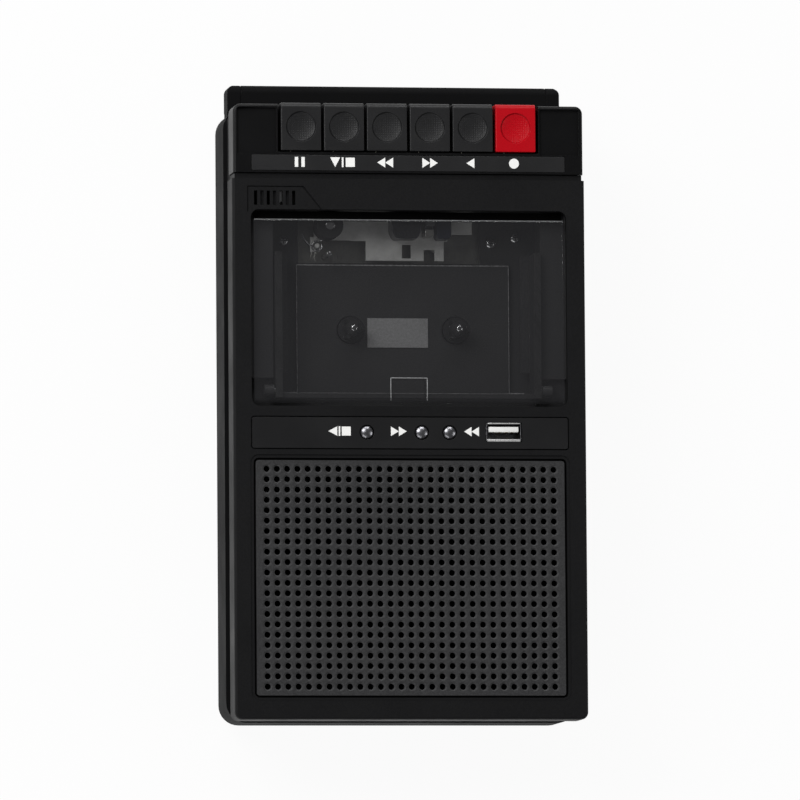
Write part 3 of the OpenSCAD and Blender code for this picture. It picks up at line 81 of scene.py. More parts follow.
def place(tree, kind, feeds, **fields):
    """Adds a shader node, sets its fields, and feeds its sockets with links or numbers."""
    node = tree.nodes.new("ShaderNode" + kind)
    for field, value in fields.items():
        setattr(node, field, value)
    for socket, source in feeds.items():
        if isinstance(source, bpy.types.NodeSocket):
            tree.links.new(source, node.inputs[socket])
        else:
            node.inputs[socket].default_value = source
    return node


grain, grain_in, grain_out = new_group(
    "moulded grain", [("Vector", "Vector"), ("Scale", "Float")], [("Height", "Float"), ("Fleck", "Float")])
grain_noise = place(grain, "TexNoise", {"Vector": grain_in["Vector"], "Scale": grain_in["Scale"],
                                        "Detail": 3.0})
grain_pits = place(grain, "TexVoronoi", {"Vector": grain_in["Vector"], "Scale": grain_in["Scale"]})
grain_sum = place(grain, "Math", {0: grain_noise.outputs["Fac"], 1: grain_pits.outputs["Distance"]},
                  operation="ADD")
grain_fleck = place(grain, "MapRange", {"Value": grain_noise.outputs["Fac"],
                                        "From Min": 0.35, "From Max": 0.65})
grain.links.new(grain_sum.outputs[0], grain_out["Height"])
grain.links.new(grain_fleck.outputs[0], grain_out["Fleck"])

polish, polish_in, polish_out = new_group(
    "handled patches", [("Vector", "Vector"), ("Size", "Float")], [("Mask", "Float")])
polish_noise = place(polish, "TexNoise", {"Vector": polish_in["Vector"], "Scale": polish_in["Size"],
                                          "Detail": 5.0, "Roughness": 0.6})
polish_mask = place(polish, "MapRange", {"Value": polish_noise.outputs["Fac"],
                                         "From Min": 0.3, "From Max": 0.7})
polish.links.new(polish_mask.outputs[0], polish_out["Mask"])


def start_material(name):
    """A new material: its tree, its shader and the piece's own coordinates."""
    material = bpy.data.materials.new(name)
    material.use_nodes = True
    tree = material.node_tree
    shader = tree.nodes["Principled BSDF"]
    return material, tree, shader, tree.nodes.new("ShaderNodeTexCoord").outputs["Object"]


def use_group(tree, group, feeds):
    """Places a shader group and gives its outputs."""
    return place(tree, "Group", feeds, node_tree=group).outputs


handled_per_metre = 35.0


def moulded(name, code, rough, grain_size=0.35 * mm, grain_depth=0.02 * mm, contrast=0.25, polished=0.08,
            shine=0.3):
    """Moulded plastic: grained, flecked, and polished in patches."""
    material, tree, shader, here = start_material(name)
    fine = use_group(tree, grain, {"Vector": here, "Scale": 1 / grain_size})
    worn = use_group(tree, polish, {"Vector": here, "Size": handled_per_metre})
    colour = linear(code)
    tone = place(tree, "Mix", {0: fine["Fleck"], 6: lit(colour, 1 - contrast), 7: lit(colour, 1 + contrast)},
                 data_type="RGBA")
    gloss = place(tree, "MapRange", {"Value": worn["Mask"],
                                     "To Min": rough + polished, "To Max": rough - polished})
    bump = place(tree, "Bump", {"Height": fine["Height"], "Distance": grain_depth, "Strength": 1.0})
    tree.links.new(tone.outputs[2], shader.inputs["Base Color"])
    tree.links.new(gloss.outputs[0], shader.inputs["Roughness"])
    tree.links.new(bump.outputs[0], shader.inputs["Normal"])
    shader.inputs["Specular IOR Level"].default_value = shine
    return material


weld_gap = 0.001 * mm
flat_angle, sharp_angle = math.radians(0.6), math.radians(32)
ease_steps = 2


def dress(material, *names, edge=0.0):
    """Gives CAD nodes a material, and eases their sharp edges by a width."""
    for name in names:
        part = nodes[name]
        part.data.materials.clear()
        part.data.materials.append(material)
        if edge:
            weld = part.modifiers.new("joined", "WELD")
            weld.merge_threshold = weld_gap
            flat = part.modifiers.new("flat faces", "DECIMATE")
            flat.decimate_type = "DISSOLVE"
            flat.angle_limit = flat_angle
            ease = part.modifiers.new("eased edges", "BEVEL")
            ease.width = edge
            ease.segments = ease_steps
            ease.limit_method = "ANGLE"
            ease.angle_limit = sharp_angle
            ease.use_clamp_overlap = True
            part.modifiers.new("clean shading", "WEIGHTED_NORMAL").keep_sharp = True


case_black = moulded("case black", "#0d0d0e", 0.66, shine=0.07)
dress(case_black, "rear_case", edge=0.35 * mm)

# Feet and screws: pressed-in black rubber discs, and plated screws at the bottom of deep holes.
# The rubber is dusty and dull; the screw heads keep the rings of their turning.
foot_rubber = moulded("foot rubber", "#161616", 0.75, grain_size=0.8 * mm, polished=0.05)
dress(foot_rubber, "rubber_feet", edge=0.3 * mm)

brushing, brushing_in, brushing_out = new_group(
    "brushing", [("Vector", "Vector"), ("Fineness", "Float"), ("Along", "Vector")], [("Streak", "Float")])
brushing_turn = place(brushing, "VectorMath", {0: brushing_in["Vector"], 1: brushing_in["Along"]},
                      operation="MULTIPLY")
brushing_noise = place(brushing, "TexNoise", {"Vector": brushing_turn.outputs[0],
                                              "Scale": brushing_in["Fineness"], "Detail": 4.0})
brushing_mask = place(brushing, "MapRange", {"Value": brushing_noise.outputs["Fac"],
                                             "From Min": 0.3, "From Max": 0.7})
brushing.links.new(brushing_mask.outputs[0], brushing_out["Streak"])


streaks_per_metre, stains_per_metre = 5000.0, 160.0
stain_dark, stain_pale = 0.82, 1.1
streak_deep = 0.004 * mm
turned_rings = (1, 1, 0.1)


def metal(name, code, rough, along=(1, 0.05, 1), streak=0.12, metallic=1.0):
    """Drawn, stamped or turned metal, streaked along its working direction."""
    material, tree, shader, here = start_material(name)
    lines = use_group(tree, brushing, {"Vector": here, "Fineness": streaks_per_metre, "Along": along})
    stains = use_group(tree, polish, {"Vector": here, "Size": stains_per_metre})
    colour = linear(code)
    tone = place(tree, "Mix", {0: stains["Mask"], 6: lit(colour, stain_dark), 7: lit(colour, stain_pale)},
                 data_type="RGBA")
    gloss = place(tree, "MapRange", {"Value": lines["Streak"],
                                     "To Min": rough - streak, "To Max": rough + streak})
    bump = place(tree, "Bump", {"Height": lines["Streak"], "Distance": streak_deep, "Strength": 0.6})
    tree.links.new(tone.outputs[2], shader.inputs["Base Color"])
    tree.links.new(gloss.outputs[0], shader.inputs["Roughness"])
    tree.links.new(bump.outputs[0], shader.inputs["Normal"])
    shader.inputs["Metallic"].default_value = metallic
    return material


screw_steel = metal("screw steel", "#9a9a9c", 0.35, along=turned_rings)
dress(screw_steel, "case_screws", edge=0.15 * mm)

# Battery bay: nickel-plated springs and pressed contact plates that slide into the end walls,
# closed by a moulded door with finger ribs.
nickel = metal("contact nickel", "#b9b9b2", 0.28)
dress(nickel, "battery_springs", "battery_contacts", edge=0.15 * mm)
dress(case_black, "battery_door", edge=0.25 * mm)


# Circuit boards: green solder mask over copper tracks on glass laminate, with dark parts soldered on.
# The main board lies in the back of the case, and a small one carries the switches of the three buttons.
def circuit_board(name, code, track_code, track_pitch):
    """A lacquered board on which the copper tracks show as paler squares and lines."""
    material, tree, shader, here = start_material(name)
    tracks = place(tree, "TexBrick", {"Vector": here, "Scale": 1 / track_pitch, "Mortar Size": 0.09,
                                      "Color1": lit(linear(code), 0.9), "Color2": lit(linear(code), 1.15),
                                      "Mortar": lit(linear(track_code), 1)})
    tree.links.new(tracks.outputs["Color"], shader.inputs["Base Color"])
    relief = place(tree, "Bump", {"Height": tracks.outputs["Fac"], "Distance": 0.03 * mm})
    tree.links.new(relief.outputs[0], shader.inputs["Normal"])
    shader.inputs["Roughness"].default_value = 0.3
    return material


board_green = circuit_board("board green", "#1d4a26", "#3f7a3c", 4 * mm)
part_black = moulded("component black", "#1b1e2a", 0.4, grain_size=0.2 * mm)
dress(board_green, "main_board", "button_board", edge=0.1 * mm)
dress(part_black, "board_components", "tact_switches", edge=0.3 * mm)

# Side controls: a knurled volume wheel on its metal-cased control, two plug sockets and the power inlet.
# All sit behind openings in the right side of the case, in smooth black plastic.
socket_black = moulded("socket black", "#141415", 0.3, grain_size=0.2 * mm)
pot_steel = metal("pot steel", "#8d8d8f", 0.4)
dress(socket_black, "audio_jacks", "power_inlet", edge=0.2 * mm)
dress(socket_black, "volume_wheel", edge=0.12 * mm)
dress(pot_steel, "volume_pot", edge=0.2 * mm)


# Speaker: a pressed steel basket and a ferrite magnet behind a black pulp cone.
# The pulp shows short fibres and does not shine.
def paper_pulp(name, code):
    """Pressed pulp with short fibres."""
    material, tree, shader, here = start_material(name)
    fibre = use_group(tree, brushing, {"Vector": here, "Fineness": 900.0, "Along": (1, 0.3, 1)})
    tone = place(tree, "Mix", {0: fibre["Streak"], 6: lit(linear(code), 0.7), 7: lit(linear(code), 1.5)},
                 data_type="RGBA")
    relief = place(tree, "Bump", {"Height": fibre["Streak"], "Distance": 0.05 * mm})
    tree.links.new(tone.outputs[2], shader.inputs["Base Color"])
    tree.links.new(relief.outputs[0], shader.inputs["Normal"])
    shader.inputs["Roughness"].default_value = 0.9
    return material


basket_steel = metal("basket steel", "#77787a", 0.45)
ferrite = moulded("ferrite", "#3a3a3c", 0.6, grain_size=0.6 * mm)
dress(basket_steel, "speaker_frame")
dress(ferrite, "speaker_magnet", edge=0.4 * mm)
dress(paper_pulp("cone pulp", "#161616"), "speaker_cone")

# Tape transport: a stamped steel chassis that carries the motor, the flywheel on the capstan's shaft,
# and the rubber belt between them.
chassis_steel = metal("chassis steel", "#a3a39f", 0.38)
bright_steel = metal("bright steel", "#c9c9cb", 0.16, streak=0.06)
turned_brass = metal("turned brass", "#b8934f", 0.25, along=turned_rings)
belt_rubber = moulded("belt rubber", "#121212", 0.6, grain_size=0.5 * mm)
dress(chassis_steel, "transport_chassis", edge=0.15 * mm)
dress(bright_steel, "motor", edge=0.4 * mm)
dress(bright_steel, "capstan_shaft", edge=0.1 * mm)
dress(metal("flywheel zinc", "#8b8b8e", 0.32, along=turned_rings), "flywheel", edge=0.2 * mm)
dress(turned_brass, "motor_pulley", edge=0.12 * mm)
dress(chassis_steel, "capstan_bearing", edge=0.12 * mm)
dress(belt_rubber, "drive_belt")


# Cassette well: a plain black tray below the door, with a pale card plate between the two reel spindles.
# The spindles end in bright steel tips, and three cross-slotted screws hold the deck down; their slots are not
# cut but painted shade, as near-black crosses on the heads.
def keep(mesh, name, material, body, crease=35):
    """Turns a mesh into a piece that rides on a body, smooth up to an angle."""
    bmesh.ops.recalc_face_normals(mesh, faces=mesh.faces)
    data = bpy.data.meshes.new(name)
    mesh.to_mesh(data)
    mesh.free()
    data.shade_smooth()
    data.set_sharp_from_angle(angle=math.radians(crease))
    data.materials.append(material)
    piece = bpy.data.objects.new(name, data)
    bpy.context.scene.collection.objects.link(piece)
    if body:
        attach(piece, body)
    return piece


def turned(mesh, profile, centre, steps=40):
    """Spins a profile of (radius, height) points in mm about an upright axis."""
    points = [mesh.verts.new((centre[0] + r * mm, centre[1], centre[2] + h * mm)) for r, h in profile]
    edges = [mesh.edges.new(pair) for pair in zip(points, points[1:])]
    bmesh.ops.spin(mesh, geom=points + edges, cent=centre, axis=(0, 0, 1), angle=math.tau, steps=steps,
                   use_merge=True)
    bmesh.ops.remove_doubles(mesh, verts=mesh.verts, dist=0.0005 * mm)


def eased_box(mesh, low, high, ease):
    """A box between two corners, with eased edges."""
    made = bmesh.ops.create_cube(mesh, size=1)["verts"]
    for vert in made:
        vert.co = [a if c < 0 else b for c, a, b in zip(vert.co, low, high)]
    edges = list({edge for vert in made for edge in vert.link_edges})
    bmesh.ops.bevel(mesh, geom=edges, offset=ease, segments=2, profile=0.5, affect="EDGES", material=-1)


well_black = moulded("well black", "#323233", 0.42, grain_size=0.5 * mm)
plate_grey = moulded("plate grey", "#929293", 0.5, grain_size=0.9 * mm, contrast=0.1)
dress(well_black, "cassette_well", edge=0.3 * mm)
dress(plate_grey, "deck_plate", edge=0.08 * mm)
dress(moulded("spindle black", "#2c2c2d", 0.34), "supply_spindle", "takeup_spindle", edge=0.15 * mm)
tip_profile = ((0, 0.35), (0.7, 0.3), (1.15, 0.12), (1.3, -0.1))
for reel, node in (("supply_reel", "supply_spindle"), ("takeup_reel", "takeup_spindle")):
    reel_low, reel_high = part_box(node)
    reel_at = ((reel_low[0] + reel_high[0]) / 2, (reel_low[1] + reel_high[1]) / 2, reel_high[2])
    tip = bmesh.new()
    turned(tip, tip_profile, reel_at)
    keep(tip, node + "_tip", bright_steel, reel)

platform_rise = 2 * mm
well_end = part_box("cassette_well")[1][1]
well_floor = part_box("deck_plate")[0][2] - platform_rise
# Near-black, dull plastic: painted shade in the screw slots and in the gap above the door's pane.
shade_black_paint = moulded("painted shade black", "#060606", 0.8, shine=0.05)
screw_profile = ((0, 1.5), (1.2, 1.4), (1.9, 1.05), (2.2, 0.5), (2.2, 0))
slot_half, slot_thin, slot_low, slot_top = 1.2 * mm, 0.22 * mm, 1.2 * mm, 1.52 * mm
for i, (x, from_end) in enumerate(((-48, 12.4), (36, 12.9), (46, 10.6))):
    spot = (x * mm, well_end - from_end * mm, well_floor)
    head = bmesh.new()
    turned(head, screw_profile, spot)
    keep(head, f"deck_screw_{i}", bright_steel, "case")
    # The slot is not cut: a near-black cross laid on the head is painted shade.
    cross = bmesh.new()
    for half_x, half_y in ((slot_half, slot_thin), (slot_thin, slot_half)):
        eased_box(cross, (spot[0] - half_x, spot[1] - half_y, well_floor + slot_low),
                  (spot[0] + half_x, spot[1] + half_y, well_floor + slot_top), 0.05 * mm)
    keep(cross, f"deck_screw_slot_shade_{i}", shade_black_paint, "case")

# Cassette platform: the floor under the cassette is raised, and thin pale strips along its edges are painted
# highlight.
# At its lower end a low rib runs out from it on either side, pale with the same painted highlight.
platform_highlight_paint = moulded("platform painted highlight", "#8a8a8b", 0.4, grain_size=0.9 * mm, contrast=0.4)
platform_half, platform_long, edge_wide, edge_high = 43 * mm, 52 * mm, 0.5 * mm, 0.12 * mm
edge_ease, rib_reach, rib_wide, rib_ease = 0.05 * mm, 49 * mm, 0.7 * mm, 0.1 * mm
# Depth by which an added piece is set into what carries it
sunk = 0.02 * mm
platform_top = well_floor + platform_rise
platform_in = 21.9 * mm
platform_y1 = well_end - platform_in
platform_y0 = platform_y1 - platform_long
edging = bmesh.new()
for y0 in (platform_y0, platform_y1 - edge_wide):
    eased_box(edging, (-platform_half, y0, platform_top - sunk),
              (platform_half, y0 + edge_wide, platform_top + edge_high), edge_ease)
for x0 in (-platform_half, platform_half - edge_wide / 2):
    eased_box(edging, (x0, platform_y0, platform_top - sunk),
              (x0 + edge_wide / 2, platform_y1, platform_top + edge_high), edge_ease)
for side in (-1, 1):
    inner, outer = sorted((side * platform_half, side * rib_reach))
    eased_box(edging, (inner, platform_y0, well_floor - sunk),
              (outer, platform_y0 + rib_wide, platform_top), rib_ease)
keep(edging, "platform_highlight_strips", platform_highlight_paint, "case")


# Head carriage: a stamped plate with the play head in its can, the erase head and the pinch roller.
# A wound spring on its post presses the roller's arm.
def wire(mesh, path, radius, sides=8):
    """A round wire along a path of points."""
    path = [Vector(point) for point in path]
    rings = []
    for i, point in enumerate(path):
        along = (path[min(i + 1, len(path) - 1)] - path[max(i - 1, 0)]).normalized()
        side = along.cross(Vector((0, 0, 1)) if abs(along.z) < 0.9 else Vector((1, 0, 0))).normalized()
        up = side.cross(along)
        rings.append([mesh.verts.new(point + radius * (math.cos(a) * side + math.sin(a) * up))
                      for a in (math.tau * k / sides for k in range(sides))])
    for ring, after in zip(rings, rings[1:]):
        for k in range(sides):
            mesh.faces.new((ring[k], ring[k - 1], after[k - 1], after[k]))
    mesh.faces.new(rings[0])
    mesh.faces.new(rings[-1])


bridge_steel = metal("bridge steel", "#d8d8d6", 0.5, metallic=0.35)
head_dark = metal("head can", "#4a4a4d", 0.35)
dress(bridge_steel, "head_bridge", edge=0.12 * mm)
dress(head_dark, "play_head", edge=0.3 * mm)
dress(part_black, "erase_head", edge=0.3 * mm)
dress(bright_steel, "pinch_roller_pin", edge=0.1 * mm)
dress(belt_rubber, "pinch_roller", edge=0.3 * mm)

roller_low, roller_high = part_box("pinch_roller")
roller_at = [(a + b) / 2 for a, b in zip(roller_low, roller_high)]
bridge_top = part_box("play_head")[0][2]
post = Vector((roller_at[0] - 4.2 * mm, roller_at[1] - 7.6 * mm, bridge_top))


def by_post(x, y, z):
    """A point in mm from the foot of the spring's post."""
    return post.x + x * mm, post.y + y * mm, bridge_top + z * mm


lever_arms = (((-2.4, -2.2), (1.6, 3.8, 0.9)), ((-0.6, 3.0), (4.4, 5.2, 0.8)))
lever_ease = 0.15 * mm
post_profile = ((0, 4.4), (0.7, 4.4), (0.95, 4.1), (0.95, 0.8))
lever = bmesh.new()
for near, far in lever_arms:
    eased_box(lever, by_post(*near, 0)[:2] + (bridge_top - sunk,), by_post(*far), lever_ease)
turned(lever, post_profile, post)
keep(lever, "roller_lever", bridge_steel, "head_carriage")
coil_turns = 3.5
coil_radius = 1.9 * mm
coil_rise = 0.62 * mm
coil_steps = 84
coil_from = math.radians(60)
coil_low = 1.4 * mm
coil_wire = 0.28 * mm
coil_path = [by_post(6.2, 4.6, 1.6), by_post(3.2, 3.1, 1.5)]
for k in range(coil_steps + 1):
    turn_angle = coil_from - math.tau * coil_turns * k / coil_steps
    coil_path.append((post.x + coil_radius * math.cos(turn_angle),
                      post.y + coil_radius * math.sin(turn_angle),
                      bridge_top + coil_low + coil_rise * coil_turns * k / coil_steps))
coil_path += [by_post(-5.2, 2.4, 3.7), by_post(-6.0, 4.6, 3.7)]
coil = bmesh.new()
wire(coil, coil_path, coil_wire)
keep(coil, "roller_spring", bright_steel, "head_carriage", crease=60)

# Key works: a ground steel shaft, the steel catch of the cassette door, and a comb of leaf springs.
# Each leaf lifts one key.
dress(bright_steel, "key_shaft", edge=0.15 * mm)
dress(chassis_steel, "door_latch", edge=0.12 * mm)

spring_steel = metal("spring steel", "#a8a79c", 0.3)
comb_low, comb_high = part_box("key_return_spring")
comb_wide, comb_thin, leaf_half, leaf_lap, leaf_steps = 5 * mm, 0.4 * mm, 2 * mm, 0.5 * mm, 12
comb = bmesh.new()
eased_box(comb, (comb_low[0], comb_high[1] - comb_wide, comb_low[2]),
          (comb_high[0], comb_high[1], comb_low[2] + comb_thin), 0.05 * mm)
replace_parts(keep(comb, "key_spring_comb", spring_steel, "case"), "key_return_spring")
leaf_root = Vector((0, comb_high[1] - comb_wide + leaf_lap, comb_low[2]))
leaf_tip = Vector((0, comb_low[1], comb_high[2] - comb_thin))
for key in ("pause", "stop_eject", "rewind", "fast_forward", "play", "record"):
    cap_low, cap_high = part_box(key + "_key")
    middle = Vector(((cap_low[0] + cap_high[0]) / 2, 0, 0))
    leaf = bmesh.new()
    rows = []
    for k in range(leaf_steps + 1):
        at = middle + leaf_root.lerp(leaf_tip, k / leaf_steps)
        rows.append([leaf.verts.new(at + Vector((x, 0, z))) for x, z in (
            (-leaf_half, 0), (leaf_half, 0), (leaf_half, comb_thin), (-leaf_half, comb_thin))])
    for row, after in zip(rows, rows[1:]):
        for k in range(4):
            leaf.faces.new((row[k], row[k - 1], after[k - 1], after[k]))
    leaf.faces.new(rows[0])
    leaf.faces.new(rows[-1])
    piece = keep(leaf, f"key_spring_{key}", spring_steel, None)
    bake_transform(piece)

# Front cover: the frame round the door, the control strip and the grille, in satin black.
# A slotted panel at its upper left lets sound through to the microphone's metal capsule.
dress(moulded("cover black", "#151516", 0.55, shine=0.12), "front_cover", edge=0.3 * mm)
dress(metal("capsule can", "#a6a6a8", 0.3), "microphone", edge=0.2 * mm)

# Control strip: a dark inlay with three bright little buttons and a flat metal socket.
# In the socket's mouth a white tongue carries four gilt contacts, and symbols stand beside the buttons.
strip_black = moulded("strip black", "#1c1c1d", 0.34, grain_size=0.25 * mm)
button_chrome = metal("button chrome", "#8a8a8e", 0.3, streak=0.05)
socket_steel = metal("socket steel", "#77777a", 0.3, streak=0.06)
lip_highlight_steel = metal("lip steel painted highlight", "#e6e6e6", 0.3, streak=0.06, metallic=0.6)
tongue_white = moulded("tongue white", "#ececea", 0.45, grain_size=0.3 * mm, contrast=0.04)
contact_gold = metal("contact gold", "#c9a24a", 0.2, streak=0.05)
ink_white = moulded("white ink", "#f6f6f4", 0.55, grain_size=0.2 * mm, grain_depth=0.004 * mm,
                    contrast=0.03)
dress(strip_black, "control_strip", edge=0.12 * mm)
dress(button_chrome, "play_pause_button", "next_button", "previous_button", edge=0.4 * mm)
dress(socket_steel, "usb_socket", edge=0.1 * mm)

usb_low, usb_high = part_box("usb_socket")
usb_x, usb_y = (usb_low[0] + usb_high[0]) / 2, (usb_low[1] + usb_high[1]) / 2
tongue_in, tongue_half, tongue_deep = 0.25 * mm, 6 * mm, 6 * mm
tongue_near, tongue_far, socket_ease = 0.1 * mm, 2.2 * mm, 0.2 * mm
tongue_top = usb_high[2] - tongue_in
tongue = bmesh.new()
eased_box(tongue, (usb_x - tongue_half, usb_y + tongue_near, tongue_top - tongue_deep),
          (usb_x + tongue_half, usb_y + tongue_far, tongue_top), socket_ease)
keep(tongue, "socket_tongue", tongue_white, "case")
contact_count, contact_pitch, contact_half, contact_ease = 4, 2.5, 0.5 * mm, 0.04 * mm
contact_thick, contact_low, contact_end = 0.2 * mm, 5.5 * mm, 0.6 * mm
contacts = bmesh.new()
for k in range(contact_count):
    contact_x = usb_x + (k - (contact_count - 1) / 2) * contact_pitch * mm
    eased_box(contacts, (contact_x - contact_half, usb_y - sunk, tongue_top - contact_low),
              (contact_x + contact_half, usb_y + contact_thick, tongue_top - contact_end), contact_ease)
keep(contacts, "socket_contacts", contact_gold, "case")
# The rims of the socket's mouth are real, and their near-white colour, much paler than the shell, is painted
# highlight.
lip_half, lip_low, lip_proud, lip_out = 6.6 * mm, 0.6 * mm, 0.45 * mm, 0.25 * mm
lower_lip_in, upper_lip_in = 0.75 * mm, 0.2 * mm
lip = bmesh.new()
for y0, y1 in ((usb_low[1] - lip_out, usb_low[1] + lower_lip_in),
               (usb_high[1] - upper_lip_in, usb_high[1] + lip_out)):
    eased_box(lip, (usb_x - lip_half, y0, usb_high[2] - lip_low),
              (usb_x + lip_half, y1, usb_high[2] + lip_proud), socket_ease)
keep(lip, "socket_lips", lip_highlight_steel, "case")


def bar(x0, x1, tall):
    """An upright bar."""
    return [(x0, -tall / 2), (x1, -tall / 2), (x1, tall / 2), (x0, tall / 2)]


def arrow(base, tip, tall):
    """A triangle that points along the line."""
    return [(base, -tall / 2), (tip, 0), (base, tall / 2)]


def arrow_down(x0, x1, tall):
    """A triangle that points across the line."""
    return [(x0, tall / 2), ((x0 + x1) / 2, -tall / 2), (x1, tall / 2)]


def disc(radius, sides=40):
    """A round spot."""
    angles = [math.tau * k / sides for k in range(sides)]
    return [(radius * math.cos(a), radius * math.sin(a)) for a in angles]


def print_symbols(name, symbols, line_y, top):
    """Prints transport symbols as a thin coat of ink: outlines in mm about a place on a line."""
    coat = 0.04 * mm
    mesh = bmesh.new()
    for at_x, outlines in symbols:
        for outline in outlines:
            corners = [mesh.verts.new(((at_x + x) * mm, line_y + y * mm, top)) for x, y in outline]
            flat = mesh.faces.new(corners)
            raised = bmesh.ops.extrude_face_region(mesh, geom=[flat])["geom"]
            for vert in raised:
                if isinstance(vert, bmesh.types.BMVert):
                    vert.co.z = top + coat
    keep(mesh, name, ink_white, "case")


strip_low, strip_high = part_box("control_strip")
strip_line = (strip_low[1] + strip_high[1]) / 2 + 0.65 * mm
print_symbols("strip_symbols", [
    (-28.5, [arrow(-0.9, -4.5, 3.8), bar(-0.35, 0.3, 3.8), bar(0.9, 4.5, 3.6)]),
    (-4.65, [arrow(-3.2, 0, 3.8), arrow(0, 3.2, 3.8)]),
    (24.65, [arrow(3.0, 0, 3.8), arrow(0, -3.0, 3.8)]),
], strip_line, strip_high[2])


# Speaker grille: a grained charcoal panel with a field of drilled holes.
# Each hole is countersunk with a real dip, and the paler colour round its rim is painted highlight.
def wrapped(tree, value, shift, pitch):
    """A coordinate counted from the nearest point of an even row."""
    moved = place(tree, "Math", {0: value, 1: -shift}, operation="ADD")
    return place(tree, "Math", {0: moved.outputs[0], 1: pitch / 2, 2: -pitch / 2}, operation="WRAP").outputs[0]


def ring_distance(tree, here, first, pitch_x, pitch_y):
    """The distance across the face from the nearest of a grid of points."""
    axes = place(tree, "SeparateXYZ", {0: here}).outputs
    flat = place(tree, "CombineXYZ", {0: wrapped(tree, axes[0], first[0], pitch_x),
                                      1: wrapped(tree, axes[1], first[1], pitch_y)})
    return place(tree, "VectorMath", {0: flat.outputs[0]}, operation="LENGTH").outputs["Value"]


rim_soft, rim_deep, rim_highlight_paint = 0.1 * mm, 0.45 * mm, 1.9


def drilled(name, code, first, pitch, hole_radius, rim, middle, reach):
    """Grained moulding whose holes have soft rims, made paler by a painted highlight."""
    material = moulded(name, code, 0.5, grain_size=0.5 * mm, grain_depth=0.05 * mm, contrast=0.3)
    tree = material.node_tree
    shader = tree.nodes["Principled BSDF"]
    here = tree.nodes["Texture Coordinate"].outputs["Object"]
    away = ring_distance(tree, here, first, pitch, pitch)
    slope = place(tree, "MapRange", {"Value": away, "From Min": hole_radius - rim_soft,
                                     "From Max": hole_radius + rim},
                  interpolation_type="SMOOTHSTEP").outputs[0]
    axes = place(tree, "SeparateXYZ", {0: here}).outputs
    within = [place(tree, "Math", {0: axes[i], 1: middle[i], 2: reach[i]}, operation="COMPARE").outputs[0]
              for i in (0, 1)]
    field = place(tree, "Math", {0: within[0], 1: within[1]}, operation="MULTIPLY").outputs[0]
    plain = place(tree, "Math", {0: 1.0, 1: field}, operation="SUBTRACT").outputs[0]
    slope = place(tree, "Math", {0: slope, 1: plain}, operation="MAXIMUM").outputs[0]
    dip = place(tree, "Bump", {"Height": slope, "Distance": rim_deep, "Strength": 1.0,
                               "Normal": shader.inputs["Normal"].links[0].from_socket})
    tree.links.new(dip.outputs[0], shader.inputs["Normal"])
    pale = place(tree, "Mix", {0: slope, 6: lit(linear(code), rim_highlight_paint),
                               7: shader.inputs["Base Color"].links[0].from_socket}, data_type="RGBA")
    tree.links.new(pale.outputs[2], shader.inputs["Base Color"])
    return material


grille_low, grille_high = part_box("speaker_grille")
hole_pitch, hole_radius, hole_rim = 4.125 * mm, 1.25 * mm, 0.55 * mm
hole_cols, hole_rows = 29, 22
grille_middle = ((grille_low[0] + grille_high[0]) / 2, (grille_low[1] + grille_high[1]) / 2)
grille_first = (grille_middle[0], grille_middle[1] + hole_pitch / 2)
dress(drilled("grille grey", "#303031", grille_first, hole_pitch, hole_radius, hole_rim, grille_middle,
              (hole_cols * hole_pitch / 2, hole_rows * hole_pitch / 2)), "speaker_grille")


# Dust cloth: a gauze glued flat to the back of the grille; its near-black, dull colour is partly the cloth's
# own and partly painted shade, so that the holes look black.
# It keeps dust off the cone and lets the sound through.
def gauze(name, code, thread):
    """Woven cloth, with its threads as a fine chequer."""
    material, tree, shader, here = start_material(name)
    weave = place(tree, "TexChecker", {"Vector": here, "Scale": 1 / thread,
                                       "Color1": lit(linear(code), 0.6), "Color2": lit(linear(code), 1.6)})
    relief = place(tree, "Bump", {"Height": weave.outputs["Fac"], "Distance": 0.05 * mm})
    tree.links.new(weave.outputs["Color"], shader.inputs["Base Color"])
    tree.links.new(relief.outputs[0], shader.inputs["Normal"])
    shader.inputs["Roughness"].default_value = 0.95
    shader.inputs["Specular IOR Level"].default_value = 0.05
    return material


cloth_in, cloth_thin, cloth_ease, cloth_thread = 1 * mm, 0.05 * mm, 0.01 * mm, 0.3 * mm
cloth = bmesh.new()
eased_box(cloth, (grille_low[0] + cloth_in, grille_low[1] + cloth_in, grille_low[2]),
          (grille_high[0] - cloth_in, grille_high[1] - cloth_in, grille_low[2] + cloth_thin), cloth_ease)
gauze_shade_black = gauze("black gauze and painted shade", "#060606", cloth_thread)
keep(cloth, "dust_cloth", gauze_shade_black, "case")

# Key surround and label strip: a separate shell round the keys, smoother than the rear case.
# A satin strip inlaid below the keys bears a printed symbol for each of them.
dress(moulded("surround black", "#0b0b0c", 0.42, shine=0.14, polished=0.05), "key_surround", edge=0.3 * mm)
label_grey = moulded("label grey", "#202021", 0.42, grain_size=0.3 * mm)
dress(label_grey, "label_strip", edge=0.1 * mm)
label_low, label_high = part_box("label_strip")
label_line = (label_low[1] + label_high[1]) / 2 + 0.26 * mm
print_symbols("label_symbols", [
    (-43.8, [bar(-2, -0.65, 4), bar(0.65, 2, 4)]),
    (-26.6, [arrow_down(-4.95, -0.95, 3.9), bar(-0.3, 0.4, 4), bar(1.3, 4.95, 3.7)]),
    (-9.4, [arrow(3.2, 0, 4), arrow(0, -3.2, 4)]),
    (8.7, [arrow(-3.1, 0, 4), arrow(0, 3.1, 4)]),
    (25, [arrow(1.6, -1.6, 4)]),
    (42.6, [disc(2)]),
], label_line, label_high[2])

# Piano keys: satin caps with a shallow textured dish. The record key is red.
# A fine step runs round the dish, and rows of small dots inside it give the finger grip.
dish_radius, dish_in = 6.1 * mm, 9.6 * mm
dish_slope_in, dish_slope_out, dish_deep = 0.6 * mm, 0.1 * mm, 0.6 * mm
dot_pitch, dot_radius, dot_foot, dot_rise = 0.9 * mm, 0.2 * mm, 0.32 * mm, 0.06


